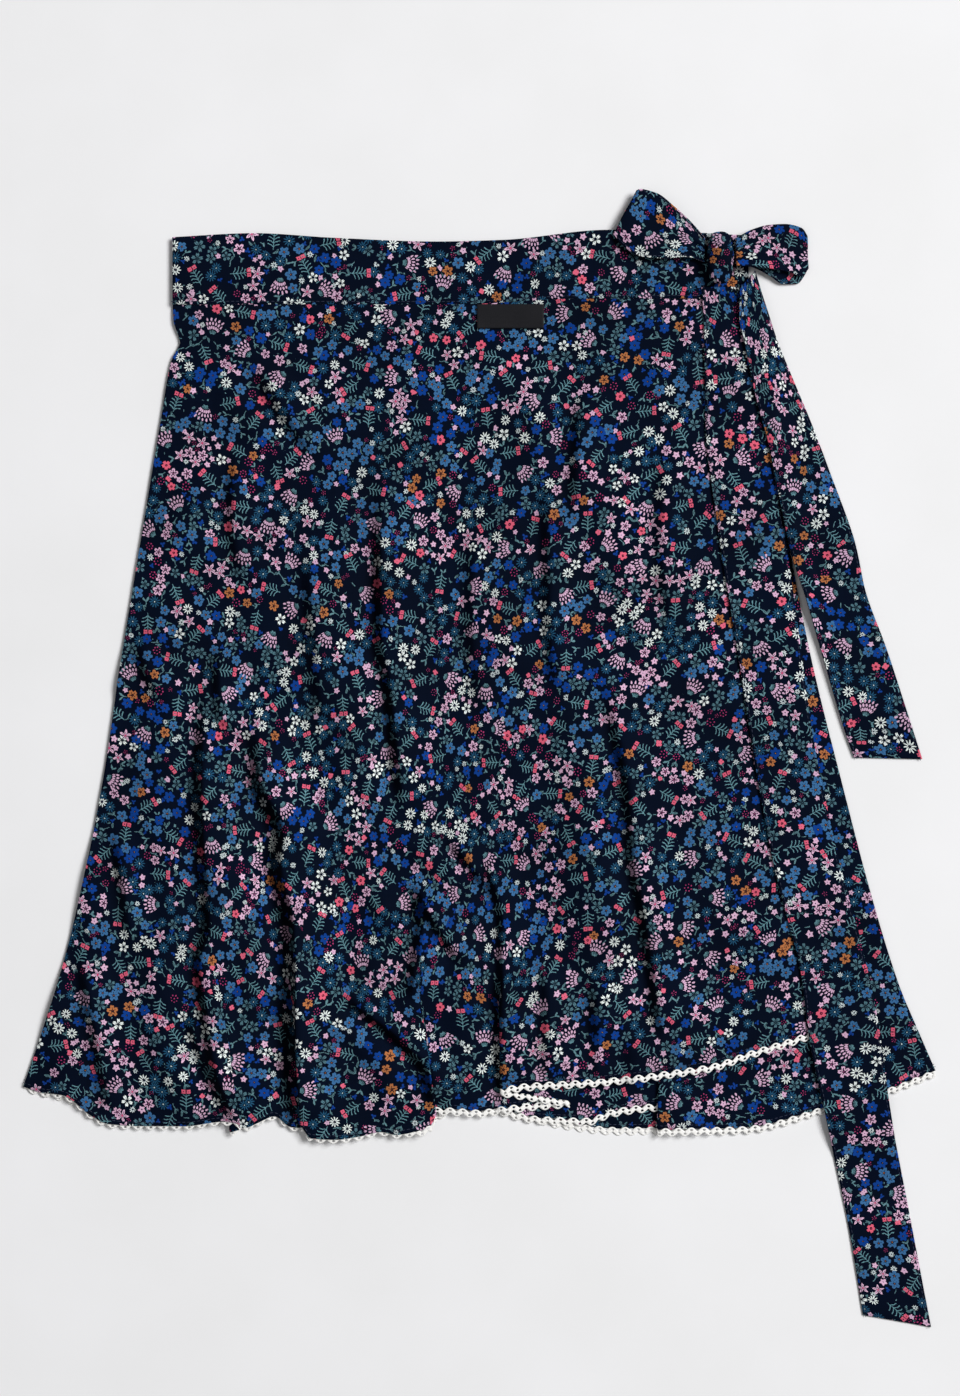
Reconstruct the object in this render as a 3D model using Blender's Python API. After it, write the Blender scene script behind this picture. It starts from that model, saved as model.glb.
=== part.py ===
"""Wrap skirt laid flat on a table, tied in a bow at its right-hand end.

The skirt lies on its back panel. +X runs along the waist towards the bow, +Y from the hem to the
waist and +Z up, away from the table. The origin is on the table, under the middle of the skirt's
box. Every table below is in millimetres, and MM turns a finished mesh to metres. A panel is a wall
of cloth on a sheet of points: its columns run from the waist seam to the hem, and its rows run
across, in and out of each pleat. What lies on a panel takes its height from that panel.
"""

import math
from collections import namedtuple

import bmesh
import bpy
import numpy as np

MM = 0.001

# Thicknesses and the room between layers.
CLOTH = 1.0
BAND = 1.2
TIE = 1.4
LACE = 1.0
LABEL = 1.0
GAP = 0.3
TIE_GAP = 0.8

# The under-lap stands slightly higher in its middle than at its side edges.
DOME = 0.2

# Heights of the middle of each layer above the table.
BACK_LEVEL = CLOTH / 2
UNDER_LEVEL = BACK_LEVEL + CLOTH + GAP
OVER_LEVEL = UNDER_LEVEL + CLOTH + GAP + DOME
OVER_TOP = OVER_LEVEL + CLOTH / 2
BAND_LEVELS = [BAND / 2 + layer * (BAND + GAP) for layer in range(3)]
BAND_TOP = BAND_LEVELS[2] + BAND / 2

# Trims.
LACE_WIDTH = 5.6
LABEL_WIDTH = 44.0
LABEL_DROP = 16.0
LABEL_MIDDLE = 21.0

# A pleat: the radius its cloth bends at, its depth once it has tapered away, and the run over which
# the cloth on top comes down.
BEND = 0.9
LEAST_DEPTH = 0.5
PLEAT_RUN = 40.0

# Over this width beside its left edge the over-lap comes down on to the back panel.
LEFT_RUN = 25.0

Point = namedtuple("Point", "x y")
Pleat = namedtuple("Pleat", "x_hem x_gone x_seam y_full y_gone depth top_side tip")
Wave = namedtuple("Wave", "x_hem x_up y_up half_width height")
Station = namedtuple("Station", "left_x left_y right_x right_y")
Turn = namedtuple("Turn", "top_x top_y top_z low_x low_y low_z")
Panel = namedtuple("Panel", "level left right hem pleats left_drop")

WAIST_TOP = [
    Point(-201.6, 343.6),
    Point(-147.5, 346.2),
    Point(-96.0, 343.2),
    Point(-28.0, 340.7),
    Point(16.2, 341.8),
    Point(85.5, 348.4),
    Point(178.0, 345.0),
]
WAIST_SEAM = [
    Point(-201.6, 299.2),
    Point(-12.0, 299.4),
    Point(64.0, 303.0),
    Point(178.0, 303.2),
]
LEFT_SIDE = [
    Point(-201.7, 299.0),
    Point(-200.9, 286.8),
    Point(-196.6, 273.6),
    Point(-202.3, 262.0),
    Point(-209.9, 219.5),
    Point(-224.7, 131.0),
    Point(-236.0, 62.4),
    Point(-247.2, -12.2),
    Point(-263.0, -92.1),
    Point(-276.9, -146.2),
    Point(-289.4, -185.1),
    Point(-300.2, -216.2),
]
RIGHT_SIDE = [
    Point(178.0, 303.0),
    Point(206.0, 133.0),
    Point(220.1, 62.4),
    Point(240.6, -20.1),
    Point(258.4, -88.1),
    Point(276.9, -148.2),
    Point(290.7, -181.2),
    Point(301.3, -205.6),
]
# The over-lap's free edge runs under the long tie.
OVER_EDGE = [
    Point(158.0, 303.0),
    Point(170.6, 212.2),
    Point(188.4, 104.6),
    Point(199.7, 10.2),
    Point(212.2, -57.1),
    Point(233.3, -174.6),
]
UNDER_EDGE = [Point(-100.0, 303.0), Point(-120.0, -192.4)]

# Each hem is one table for each stretch between two pleats.
OVER_HEM = [
    [
        Point(-300.2, -216.2),
        Point(-288.1, -220.1),
        Point(-274.2, -221.4),
        Point(-254.4, -235.6),
        Point(-243.9, -240.6),
        Point(-224.7, -241.9),
        Point(-193.7, -241.9),
        Point(-167.3, -238.6),
        Point(-158.0, -240.0),
    ],
    [
        Point(-160.0, -243.0),
        Point(-153.5, -243.2),
        Point(-144.9, -239.6),
        Point(-134.3, -235.4),
        Point(-123.8, -242.6),
        Point(-104.0, -244.0),
    ],
    [
        Point(-116.0, -242.5),
        Point(-110.6, -249.6),
        Point(-94.1, -250.5),
        Point(-77.6, -248.5),
        Point(-63.4, -245.6),
        Point(-54.5, -247.4),
        Point(-41.3, -245.2),
        Point(-31.4, -241.5),
        Point(-28.7, -236.5),
    ],
    [
        Point(-42.0, -230.0),
        Point(-17.5, -230.7),
        Point(1.0, -232.0),
        Point(18.2, -229.3),
        Point(60.0, -225.4),
    ],
    [
        Point(15.2, -217.4),
        Point(25.0, -214.8),
        Point(62.0, -212.4),
        Point(90.0, -210.4),
        Point(128.4, -205.4),
        Point(154.8, -201.2),
        Point(179.2, -193.2),
        Point(214.2, -182.2),
        Point(233.3, -174.6),
    ],
]
UNDER_HEM = [
    [
        Point(-120.0, -192.4),
        Point(-52.0, -215.0),
        Point(1.0, -227.0),
        Point(40.6, -236.6),
        Point(72.0, -237.6),
        Point(88.0, -232.0),
        Point(118.5, -228.0),
        Point(134.0, -227.4),
    ],
    [
        Point(116.5, -244.3),
        Point(138.3, -243.7),
        Point(170.6, -243.4),
        Point(186.5, -241.9),
        Point(202.3, -237.9),
        Point(225.4, -230.7),
        Point(269.6, -218.1),
        Point(301.3, -205.6),
    ],
]
BACK_HEM = [
    [
        Point(-299.6, -214.6),
        Point(-263.0, -226.0),
        Point(-244.0, -237.6),
        Point(-194.0, -239.6),
        Point(-134.0, -232.6),
        Point(-94.0, -246.0),
        Point(-32.0, -236.6),
        Point(-12.0, -228.4),
        Point(14.0, -230.4),
        Point(54.0, -239.8),
        Point(93.0, -244.0),
        Point(118.0, -243.6),
        Point(170.6, -241.4),
        Point(202.0, -236.0),
        Point(225.4, -229.0),
        Point(269.6, -216.4),
        Point(300.7, -204.2),
    ]
]

# x_hem, x_gone and x_seam place the pleat's showing edge at the hem, where it fades and at the
# waist. Its depth tapers from the hem to nothing at y_full, and it lies flat from y_gone up.
# top_side is 1 where the cloth right of the edge lies on top and -1 where the left does, and tip
# is how far the folded hem hangs lower.
OVER_PLEATS = [
    Pleat(-158.0, -168.0, -160.0, -190.0, -140.0, 5.0, -1, 5.0),
    Pleat(-116.0, -121.0, -105.0, -190.0, -110.0, 12.0, 1, 0.0),
    Pleat(-28.7, -42.0, -45.0, -190.0, -110.0, 13.0, -1, 0.0),
    Pleat(15.2, 14.5, 5.0, -168.0, -140.0, 44.0, 1, 0.0),
]
UNDER_PLEATS = [Pleat(118.5, 120.0, 100.0, -208.0, -196.0, 14.0, 1, 0.0)]

# Soft ridges of the over-lap, from the hem up to where each dies out.
WAVES = [
    Wave(-262.0, -226.0, -20.0, 30.0, 2.2),
    Wave(-206.0, -186.0, 60.0, 34.0, 3.0),
    Wave(-138.0, -150.0, 20.0, 20.0, 2.0),
    Wave(-78.0, -92.0, 120.0, 34.0, 3.2),
    Wave(-8.0, -20.0, 60.0, 24.0, 2.0),
    Wave(90.0, 58.0, 140.0, 36.0, 3.0),
]
WAVE_FOOT = -245.0
# Where the over-lap climbs the pleat of the panel under it, from where it starts to where it is
# full, and the same on the way down.
CLIMB_START = 92.0
CLIMB_LEFT = 104.0
CLIMB_RIGHT = 142.0
CLIMB_END = 182.0
CLIMB_TOP = -176.0
CLIMB_FULL = -196.0
CLIMB_HEIGHT = 4.2

# What lies on the skirt steps off the waistband over this stretch, and falls to the table over these
# runs past the side and the hem.
BAND_STEP_LOW = 282.0
BAND_STEP_HIGH = 300.0
SIDE_CLEAR = 3.0
SIDE_RUN = 12.0
HEM_CLEAR = 4.0
HEM_RUN = 26.0
# The short tail lies over the long one, and falls beside it over this run. By the knot it stands
# higher.
TAIL_CLEAR = 5.0
TAIL_RUN = 13.0
KNOT_RISE = 2.0
KNOT_RISE_TOP = 312.0
KNOT_RISE_LOW = 272.0
KNOT_RISE_WIDTH = 25.0

LONG_TAIL = [
    Station(146.6, 310.6, 171.2, 310.6),
    Station(148.2, 286.8, 180.5, 289.4),
    Station(148.8, 253.0, 187.8, 256.4),
    Station(149.5, 216.8, 191.1, 220.8),
    Station(158.1, 147.5, 201.0, 154.8),
    Station(172.6, 57.0, 213.5, 63.0),
    Station(179.9, 8.9, 220.1, 15.5),
    Station(194.4, -70.3, 236.6, -63.7),
    Station(212.2, -141.6, 254.4, -131.7),
    Station(217.5, -182.5, 263.0, -172.6),
    Station(228.0, -233.3, 270.3, -225.4),
    Station(243.9, -307.9, 284.1, -299.3),
    Station(253.6, -367.0, 298.5, -374.9),
]
SHORT_TAIL = [
    Station(171.6, 309.0, 182.0, 321.0),
    Station(171.3, 290.7, 189.8, 296.0),
    Station(175.9, 268.3, 196.4, 276.2),
    Station(182.5, 236.6, 208.2, 248.5),
    Station(189.8, 210.2, 219.5, 221.4),
    Station(197.0, 175.2, 232.0, 188.4),
    Station(206.0, 133.0, 248.8, 141.0),
    Station(214.8, 107.2, 255.1, 111.2),
    Station(228.4, 61.7, 269.0, 72.9),
    Station(241.2, 18.8, 282.8, 30.7),
    Station(247.6, 0.7, 292.7, -0.3),
]
# Each bow loop from the knot out along its upper layer, round its far end and back underneath.
LEFT_LOOP = [
    Turn(148.8, 342.0, 10.8, 148.6, 326.4, 10.8),
    Turn(139.6, 352.6, 10.9, 136.3, 329.7, 11.3),
    Turn(129.0, 362.6, 10.2, 123.1, 328.6, 10.9),
    Turn(117.5, 371.6, 9.4, 107.6, 329.6, 10.2),
    Turn(107.0, 374.6, 8.4, 93.4, 338.6, 8.8),
    Turn(104.4, 373.8, 6.4, 89.0, 344.6, 7.2),
    Turn(107.4, 372.8, 4.6, 94.0, 340.4, 5.4),
    Turn(119.5, 367.6, 4.8, 110.6, 332.6, 5.4),
    Turn(131.0, 357.6, 5.6, 126.1, 332.6, 6.0),
    Turn(148.8, 339.0, 7.0, 148.6, 328.4, 7.0),
]
RIGHT_LOOP = [
    Turn(168.6, 341.4, 11.0, 169.2, 323.6, 11.0),
    Turn(179.2, 347.4, 10.0, 183.8, 322.8, 10.4),
    Turn(191.1, 351.0, 8.0, 195.4, 321.6, 8.6),
    Turn(202.3, 351.8, 6.6, 203.8, 320.4, 7.0),
    Turn(213.2, 349.0, 5.4, 212.2, 317.6, 5.6),
    Turn(216.2, 344.6, 3.4, 217.0, 322.6, 3.4),
    Turn(213.8, 345.4, 1.6, 210.0, 313.0, 1.6),
    Turn(201.0, 347.0, 2.6, 200.8, 312.8, 2.4),
    Turn(190.0, 344.0, 4.6, 192.6, 317.6, 4.4),
    Turn(179.2, 341.4, 6.2, 181.2, 323.4, 5.8),
    Turn(168.6, 338.4, 7.0, 169.2, 326.6, 7.0),
]
KNOT_MIDDLE = (158.6, 329.0, 11.8)
KNOT_HALF = (9.2, 17.4, 7.0)
KNOT_SQUARENESS = 0.72
KNOT_RINGS = 9
KNOT_SIDES = 16

NAVY_PRINT = (0.013, 0.024, 0.055, 1.0)
BLACK_WOVEN = (0.012, 0.012, 0.014, 1.0)
WHITE_COTTON = (0.84, 0.83, 0.8, 1.0)


def smooth(share):
    """An even rise from 0 to 1 with level ends."""
    share = np.clip(share, 0.0, 1.0)
    return share * share * (3.0 - 2.0 * share)


def through(places, values, at):
    """A curve through the values that never overshoots them. It is level beyond its ends."""
    places = np.asarray(places, float)
    values = np.asarray(values, float)
    step = np.diff(places)
    rate = np.diff(values) / step
    slope = np.empty_like(values)
    slope[0] = rate[0]
    slope[-1] = rate[-1]
    same_way = rate[1:] * rate[:-1] > 0
    both = np.where(same_way, rate[1:] + rate[:-1], 1.0)
    slope[1:-1] = np.where(same_way, 2.0 * rate[1:] * rate[:-1] / both, 0.0)
    at = np.clip(at, places[0], places[-1])
    left = np.clip(np.searchsorted(places, at) - 1, 0, len(step) - 1)
    t = (at - places[left]) / step[left]
    start = values[left] * (1 + 2 * t) * (1 - t) ** 2 + slope[left] * step[left] * t * (1 - t) ** 2
    end = values[left + 1] * t * t * (3 - 2 * t) - slope[left + 1] * step[left] * t * t * (1 - t)
    return start + end


def height_of(line, x):
    """The y of a line of points at x."""
    return through([point.x for point in line], [point.y for point in line], x)


def edge_of(side, y):
    """The x of a side edge at y. Its points run down from the waist."""
    upward = side[::-1]
    return through([point.y for point in upward], [point.x for point in upward], y)


def over_rise(x, y):
    """How far the over-lap stands above its level, from its waves and the pleat under it."""
    rise = np.zeros(np.broadcast(x, y).shape)
    for wave in WAVES:
        down = np.clip((wave.y_up - y) / (wave.y_up - WAVE_FOOT), 0.0, 1.0)
        off = (x - wave.x_up - (wave.x_hem - wave.x_up) * down) / wave.half_width
        bump = np.where(np.abs(off) < 1, np.cos(off * math.pi / 2) ** 2, 0)
        rise = rise + wave.height * smooth(down) * bump
    climb = smooth((x - CLIMB_START) / (CLIMB_LEFT - CLIMB_START))
    climb = climb * smooth((CLIMB_END - x) / (CLIMB_END - CLIMB_RIGHT))
    return rise + CLIMB_HEIGHT * climb * smooth((CLIMB_TOP - y) / (CLIMB_TOP - CLIMB_FULL))


def under_rise(x, y):
    """How far the under-lap stands above its level."""
    left = edge_of(UNDER_EDGE, y)
    share = np.clip((x - left) / (edge_of(RIGHT_SIDE, y) - left), 0.0, 1.0)
    return DOME * np.sin(math.pi * share)


def no_rise(x, y):
    return np.zeros(np.broadcast(x, y).shape)


def pleat_path(depth, turn, steps):
    """The cloth's way across a pleat: it turns by an angle, runs for its depth and turns back."""
    bend = math.pi * BEND
    first = np.linspace(0.0, bend, steps + 1)
    arc = np.concatenate([first, first + bend + depth])
    angle = turn * np.concatenate([first, first[::-1]]) / bend
    chord = np.diff(arc) * np.sinc(np.diff(angle) / (2 * math.pi))
    heading = (angle[1:] + angle[:-1]) / 2
    across = np.concatenate([[0.0], np.cumsum(chord * np.cos(heading))])
    up = np.concatenate([[0.0], np.cumsum(chord * np.sin(heading))])
    return across, up, arc / arc[-1]


def pleats_at(panel, share, steps):
    """Each pleat's points on the row this share of the way from the seam to the hem."""
    found = []
    for index, pleat in enumerate(panel.pleats):
        y_hem = (panel.hem[index][-1].y + panel.hem[index + 1][0].y) / 2
        y_seam = float(height_of(WAIST_SEAM, pleat.x_seam))
        y = y_seam + (y_hem - y_seam) * share
        opened = float(smooth((y - pleat.y_full) / (pleat.y_gone - pleat.y_full)))
        depth = max(LEAST_DEPTH, pleat.depth * (pleat.y_full - y) / (pleat.y_full - y_hem))
        edge = float(through([y_hem, pleat.y_gone, y_seam], [pleat.x_hem, pleat.x_gone, pleat.x_seam], y))
        across, up, along = pleat_path(depth, pleat.top_side * math.pi * (1 - opened), steps)
        start = edge + pleat.top_side * depth / 2 - across[-1] / 2
        found.append((start + across, up, along, edge, depth))
    return found


def row_of(panel, share, spans, steps):
    """x and height of one row of the panel's sheet, from its left edge to its right edge."""
    pleats = pleats_at(panel, share, steps)
    seam_left = float(height_of(WAIST_SEAM, panel.left[0].x))
    seam_right = float(height_of(WAIST_SEAM, panel.right[0].x))
    x_left = float(edge_of(panel.left, seam_left + (panel.hem[0][0].y - seam_left) * share))
    x_right = float(edge_of(panel.right, seam_right + (panel.hem[-1][-1].y - seam_right) * share))
    starts = [x_left] + [pleat[0][-1] for pleat in pleats]
    ends = [pleat[0][0] for pleat in pleats] + [x_right]
    pieces = []
    for index, span in enumerate(spans):
        stretch = np.linspace(starts[index], ends[index], span + 1)
        pieces.append(stretch[(index > 0) : span + (index == len(pleats))])
        if index < len(pleats):
            pieces.append(pleats[index][0])
    x = np.concatenate(pieces)
    lift = np.zeros_like(x)
    place = 0
    for index, (points, up, _, edge, depth) in enumerate(pleats):
        place += len(pieces[2 * index])
        side = panel.pleats[index].top_side
        inside = slice(place, place + len(points))
        place += len(points)
        away = side * (x - edge) - depth - 2 * BEND
        on_top = abs(up[-1]) * (1 - smooth(away / PLEAT_RUN))
        if side > 0:
            lift[place:] += on_top[place:]
            lift[inside] += up
        else:
            lift[: inside.start] += on_top[: inside.start]
            lift[inside] += up - up[-1]
    return x, lift


def hem_of(panel, x, spans, steps):
    """The hem's y under each column of the sheet."""
    pieces = []
    place = 0
    for index, span in enumerate(spans):
        first = int(index > 0)
        count = span + (index == len(panel.pleats)) - first
        pieces.append(height_of(panel.hem[index], x[place : place + count]))
        place += count
        if index == len(panel.pleats):
            break
        pleat = panel.pleats[index]
        along = pleat_path(pleat.depth, math.pi, steps)[2]
        start = height_of(panel.hem[index], x[place])
        place += len(along)
        end = height_of(panel.hem[index + 1], x[place - 1])
        pieces.append(start + (end - start) * along - pleat.tip * np.sin(math.pi * along))
    return np.concatenate(pieces)


def panel_sheet(panel, shares, spans, steps, rise):
    """The points of a panel's middle: rows from seam to hem, columns from left to right."""
    x_hem, _ = row_of(panel, 1.0, spans, steps)
    y_hem = hem_of(panel, x_hem, spans, steps)
    rows = []
    for share in shares:
        x, lift = row_of(panel, share, spans, steps)
        x_seam, _ = row_of(panel, 0.0, spans, steps)
        y_seam = height_of(WAIST_SEAM, x_seam) - GAP
        y = y_seam + (y_hem - y_seam) * share
        drop = panel.left_drop * (1 - smooth((x - x[0]) / LEFT_RUN))
        rows.append(np.stack([x, y, panel.level + lift + rise(x, y) - drop], axis=1))
    return np.array(rows)


def lace_sheet(sheet):
    """A strip of lace that carries on from the last row of a panel's sheet."""
    hem = sheet[-1]
    rows = []
    for away in (GAP, LACE_WIDTH):
        row = hem.copy()
        row[:, 1] -= away
        rows.append(row)
    return np.array(rows)


def cloth_material(name, colour, roughness):
    material = bpy.data.materials.new(name)
    material.use_nodes = True
    shader = material.node_tree.nodes["Principled BSDF"]
    shader.inputs["Base Color"].default_value = colour
    shader.inputs["Roughness"].default_value = roughness
    return material


def new_solid(name, points, faces, material):
    """A closed mesh object from points in millimetres."""
    mesh = bpy.data.meshes.new(name)
    mesh.from_pydata((np.asarray(points) * MM).tolist(), [], faces)
    shape = bmesh.new()
    shape.from_mesh(mesh)
    bmesh.ops.recalc_face_normals(shape, faces=shape.faces)
    shape.to_mesh(mesh)
    shape.free()
    mesh.materials.append(material)
    solid = bpy.data.objects.new(name, mesh)
    bpy.context.scene.collection.objects.link(solid)
    mesh.shade_smooth()
    mesh.set_sharp_from_angle(angle=math.radians(40))
    return solid


def normals_of(sheet):
    normal = np.cross(np.gradient(sheet, axis=0), np.gradient(sheet, axis=1))
    return normal / np.linalg.norm(normal, axis=2, keepdims=True)


def wall(name, sheet, normal, thickness, material):
    """A solid of even thickness on both sides of a sheet of points."""
    rows, columns = sheet.shape[:2]
    upper = (sheet + normal * thickness / 2).reshape(-1, 3)
    lower = (sheet - normal * thickness / 2).reshape(-1, 3)
    number = np.arange(rows * columns).reshape(rows, columns)
    under = rows * columns
    faces = []
    for row in range(rows - 1):
        for column in range(columns - 1):
            a, b = number[row, column], number[row, column + 1]
            d, c = number[row + 1, column], number[row + 1, column + 1]
            faces.append((a, d, c, b))
            faces.append((a + under, b + under, c + under, d + under))
    round_edge = np.concatenate([number[0, :-1], number[:-1, -1], number[-1, :0:-1], number[:0:-1, 0]])
    for first, second in zip(round_edge, np.roll(round_edge, -1)):
        faces.append((first, second, second + under, first + under))
    faces = [tuple(int(corner) for corner in face) for face in faces]
    return new_solid(name, np.concatenate([upper, lower]), faces, material)


def band_sheet(x_left, x_right, level, steps):
    x = np.linspace(x_left, x_right, steps + 1)
    rows = []
    for share in (0.0, 1.0):
        y = height_of(WAIST_TOP, x) * (1 - share) + height_of(WAIST_SEAM, x) * share
        rows.append(np.stack([x, y, np.full_like(x, level)], axis=1))
    return np.array(rows)


def tie_edges(stations, steps):
    """The left and right edge of a tie, each as evenly numbered points down its length."""
    place = np.arange(len(stations))
    at = np.linspace(0, len(stations) - 1, steps + 1)
    columns = [through(place, [getattr(s, name) for s in stations], at) for name in Station._fields]
    return np.stack(columns[:2], axis=1), np.stack(columns[2:], axis=1)


def tie_sheet(stations, steps, across, height):
    left, right = tie_edges(stations, steps)
    share = np.linspace(0, 1, across + 1)[None, :, None]
    flat = left[:, None, :] * (1 - share) + right[:, None, :] * share
    z = height(flat[..., 0], flat[..., 1])
    return np.concatenate([flat, z[..., None]], axis=2)


def skirt_top(x, y):
    """Height of the top of the skirt at a place, falling to the table past its right side and hem."""
    on_band = smooth((y - BAND_STEP_LOW) / (BAND_STEP_HIGH - BAND_STEP_LOW))
    top = OVER_TOP + (BAND_TOP - OVER_TOP) * on_band + over_rise(x, y)
    past_side = x - edge_of(RIGHT_SIDE, y) - SIDE_CLEAR
    past_hem = height_of(UNDER_HEM[1], x) - LACE_WIDTH - HEM_CLEAR - y
    return top * (1 - smooth(past_side / SIDE_RUN)) * (1 - smooth(past_hem / HEM_RUN))


def long_tail_height(x, y):
    top = skirt_top(x, y)
    return top + np.minimum(top, TIE_GAP) + TIE / 2


def short_tail_height(x, y):
    """The short tail laps over the long one and drops to the table beside it."""
    edge = edge_of([Point(station.right_x, station.right_y) for station in LONG_TAIL], y)
    beside = np.maximum(x - edge - TAIL_CLEAR, 0.0)
    lapped = (BAND_TOP + TIE + 2 * TIE_GAP) * (1 - smooth(beside / TAIL_RUN))
    by_knot = smooth((y - KNOT_RISE_LOW) / (KNOT_RISE_TOP - KNOT_RISE_LOW))
    rise = KNOT_RISE * by_knot * (1 - smooth(beside / KNOT_RISE_WIDTH))
    return np.maximum(lapped, skirt_top(x, y)) + rise + TIE / 2


def loop_sheet(turns, steps, across):
    place = np.arange(len(turns))
    at = np.linspace(0, len(turns) - 1, steps + 1)
    columns = [through(place, [getattr(turn, name) for turn in turns], at) for name in Turn._fields]
    top = np.stack(columns[:3], axis=1)
    low = np.stack(columns[3:], axis=1)
    share = np.linspace(0, 1, across + 1)[None, :, None]
    return top[:, None, :] * (1 - share) + low[:, None, :] * share


def knot(material):
    """A pillow with rounded shoulders, longer down the skirt than across it."""
    points = []
    for ring in range(1, KNOT_RINGS):
        polar = math.pi * ring / KNOT_RINGS
        for side in range(KNOT_SIDES):
            turn = 2 * math.pi * side / KNOT_SIDES
            unit = (
                math.sin(polar) * math.cos(turn),
                math.sin(polar) * math.sin(turn),
                math.cos(polar),
            )
            squared = [math.copysign(abs(part) ** KNOT_SQUARENESS, part) for part in unit]
            points.append([m + h * s for m, h, s in zip(KNOT_MIDDLE, KNOT_HALF, squared)])
    faces = []
    for ring in range(KNOT_RINGS - 2):
        for side in range(KNOT_SIDES):
            a = ring * KNOT_SIDES + side
            b = ring * KNOT_SIDES + (side + 1) % KNOT_SIDES
            faces.append((a, b, b + KNOT_SIDES, a + KNOT_SIDES))
    faces.append(tuple(range(KNOT_SIDES)))
    faces.append(tuple(range(len(points) - KNOT_SIDES, len(points))))
    return new_solid("tie_knot", points, faces, material)


def label_sheet():
    x = LABEL_MIDDLE + LABEL_WIDTH * np.array([-0.5, 0.0, 0.5])
    top = float(height_of(WAIST_SEAM, LABEL_MIDDLE - LABEL_WIDTH / 2)) - GAP
    rows = []
    for y in (top, top - LABEL_DROP):
        z = OVER_TOP + GAP + LABEL / 2 + over_rise(x, y)
        rows.append(np.stack([x, np.full_like(x, y), z], axis=1))
    return np.array(rows)


def clear_scene():
    for old in list(bpy.data.objects):
        bpy.data.objects.remove(old, do_unlink=True)


def main():
    clear_scene()
    printed = cloth_material("printed_viscose", NAVY_PRINT, 0.78)
    lace = cloth_material("cotton_lace", WHITE_COTTON, 0.85)
    woven = cloth_material("woven_label", BLACK_WOVEN, 0.7)

    over = Panel(OVER_LEVEL, LEFT_SIDE, OVER_EDGE, OVER_HEM, OVER_PLEATS, OVER_LEVEL - UNDER_LEVEL)
    under = Panel(UNDER_LEVEL, UNDER_EDGE, RIGHT_SIDE, UNDER_HEM, UNDER_PLEATS, 0.0)
    back = Panel(BACK_LEVEL, LEFT_SIDE, RIGHT_SIDE, BACK_HEM, [], 0.0)

    over_rows = [0.0, 0.05, 0.1, 0.22, 0.36, 0.5, 0.62, 0.72, 0.79, 0.85, 0.9, 0.95, 1.0]
    over_sheet = panel_sheet(over, over_rows, [10, 4, 7, 5, 9], 3, over_rise)
    under_rows = [0.0, 0.25, 0.5, 0.7, 0.85, 0.92, 0.96, 1.0]
    under_sheet = panel_sheet(under, under_rows, [13, 11], 3, under_rise)
    back_rows = [0.0, 0.05, 0.1, 0.3, 0.55, 0.8, 1.0]
    back_sheet = panel_sheet(back, back_rows, [36], 0, no_rise)

    panels = {"front_over": over_sheet, "front_under": under_sheet, "back": back_sheet}
    for name, sheet in panels.items():
        normal = normals_of(sheet)
        wall(f"{name}_panel", sheet, normal, CLOTH, printed)
        hem_normal = np.repeat(normal[-1:], 2, axis=0)
        wall(f"lace_{name}", lace_sheet(sheet), hem_normal, LACE, lace)

    bands = {"back": (-201.6, 178.0, 36), "under": (-100.0, 178.0, 27), "over": (-201.6, 158.0, 34)}
    for level, (name, (x_left, x_right, steps)) in zip(BAND_LEVELS, bands.items()):
        sheet = band_sheet(x_left, x_right, level, steps)
        wall(f"waistband_{name}", sheet, normals_of(sheet), BAND, printed)

    ties = {
        "tie_tail_long": tie_sheet(LONG_TAIL, 36, 4, long_tail_height),
        "tie_tail_short": tie_sheet(SHORT_TAIL, 26, 9, short_tail_height),
        "bow_loop_left": loop_sheet(LEFT_LOOP, 22, 3),
        "bow_loop_right": loop_sheet(RIGHT_LOOP, 24, 3),
    }
    for name, sheet in ties.items():
        wall(name, sheet, normals_of(sheet), TIE, printed)
    knot(printed)
    wall("label", label_sheet(), normals_of(label_sheet()), LABEL, woven)


main()
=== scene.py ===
"""Looks of the wrap skirt, laid flat and tied in a bow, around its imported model.

+X runs along the waist towards the bow, +Y from the hem to the waist and +Z up from the table. The
tables are in millimetres, as in the part's source, and MM turns a finished mesh to metres. Each
cloth piece is a thin shell on a sheet of points. A sheet's rows run down the skirt and its columns
across, and each point holds x, y, z and its place u, v on the printed cloth.
"""

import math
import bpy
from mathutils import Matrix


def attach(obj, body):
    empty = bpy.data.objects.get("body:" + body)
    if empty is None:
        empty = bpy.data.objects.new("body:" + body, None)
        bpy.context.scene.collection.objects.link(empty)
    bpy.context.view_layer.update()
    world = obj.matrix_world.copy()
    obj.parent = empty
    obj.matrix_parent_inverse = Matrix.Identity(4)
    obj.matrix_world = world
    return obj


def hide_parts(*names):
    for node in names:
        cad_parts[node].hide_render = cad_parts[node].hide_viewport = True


bl_info = {
    "name": "Wrap skirt",
    "version": (1, 0, 0),
    "blender": (4, 5, 0),
    "location": "3D View > Sidebar > Skirt",
    "description": "Builds the cloth, lace, bow and label of a printed wrap skirt laid flat",
    "category": "Add Mesh",
}

from collections import namedtuple

import bpy
import numpy as np

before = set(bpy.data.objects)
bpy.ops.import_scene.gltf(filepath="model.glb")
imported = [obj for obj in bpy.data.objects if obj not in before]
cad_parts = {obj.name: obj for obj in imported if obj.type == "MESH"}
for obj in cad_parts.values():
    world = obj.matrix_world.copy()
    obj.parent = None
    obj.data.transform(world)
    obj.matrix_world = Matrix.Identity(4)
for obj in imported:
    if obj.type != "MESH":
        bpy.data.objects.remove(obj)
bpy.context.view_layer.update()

MM = 0.001
PER_METRE = 1 / MM

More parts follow.
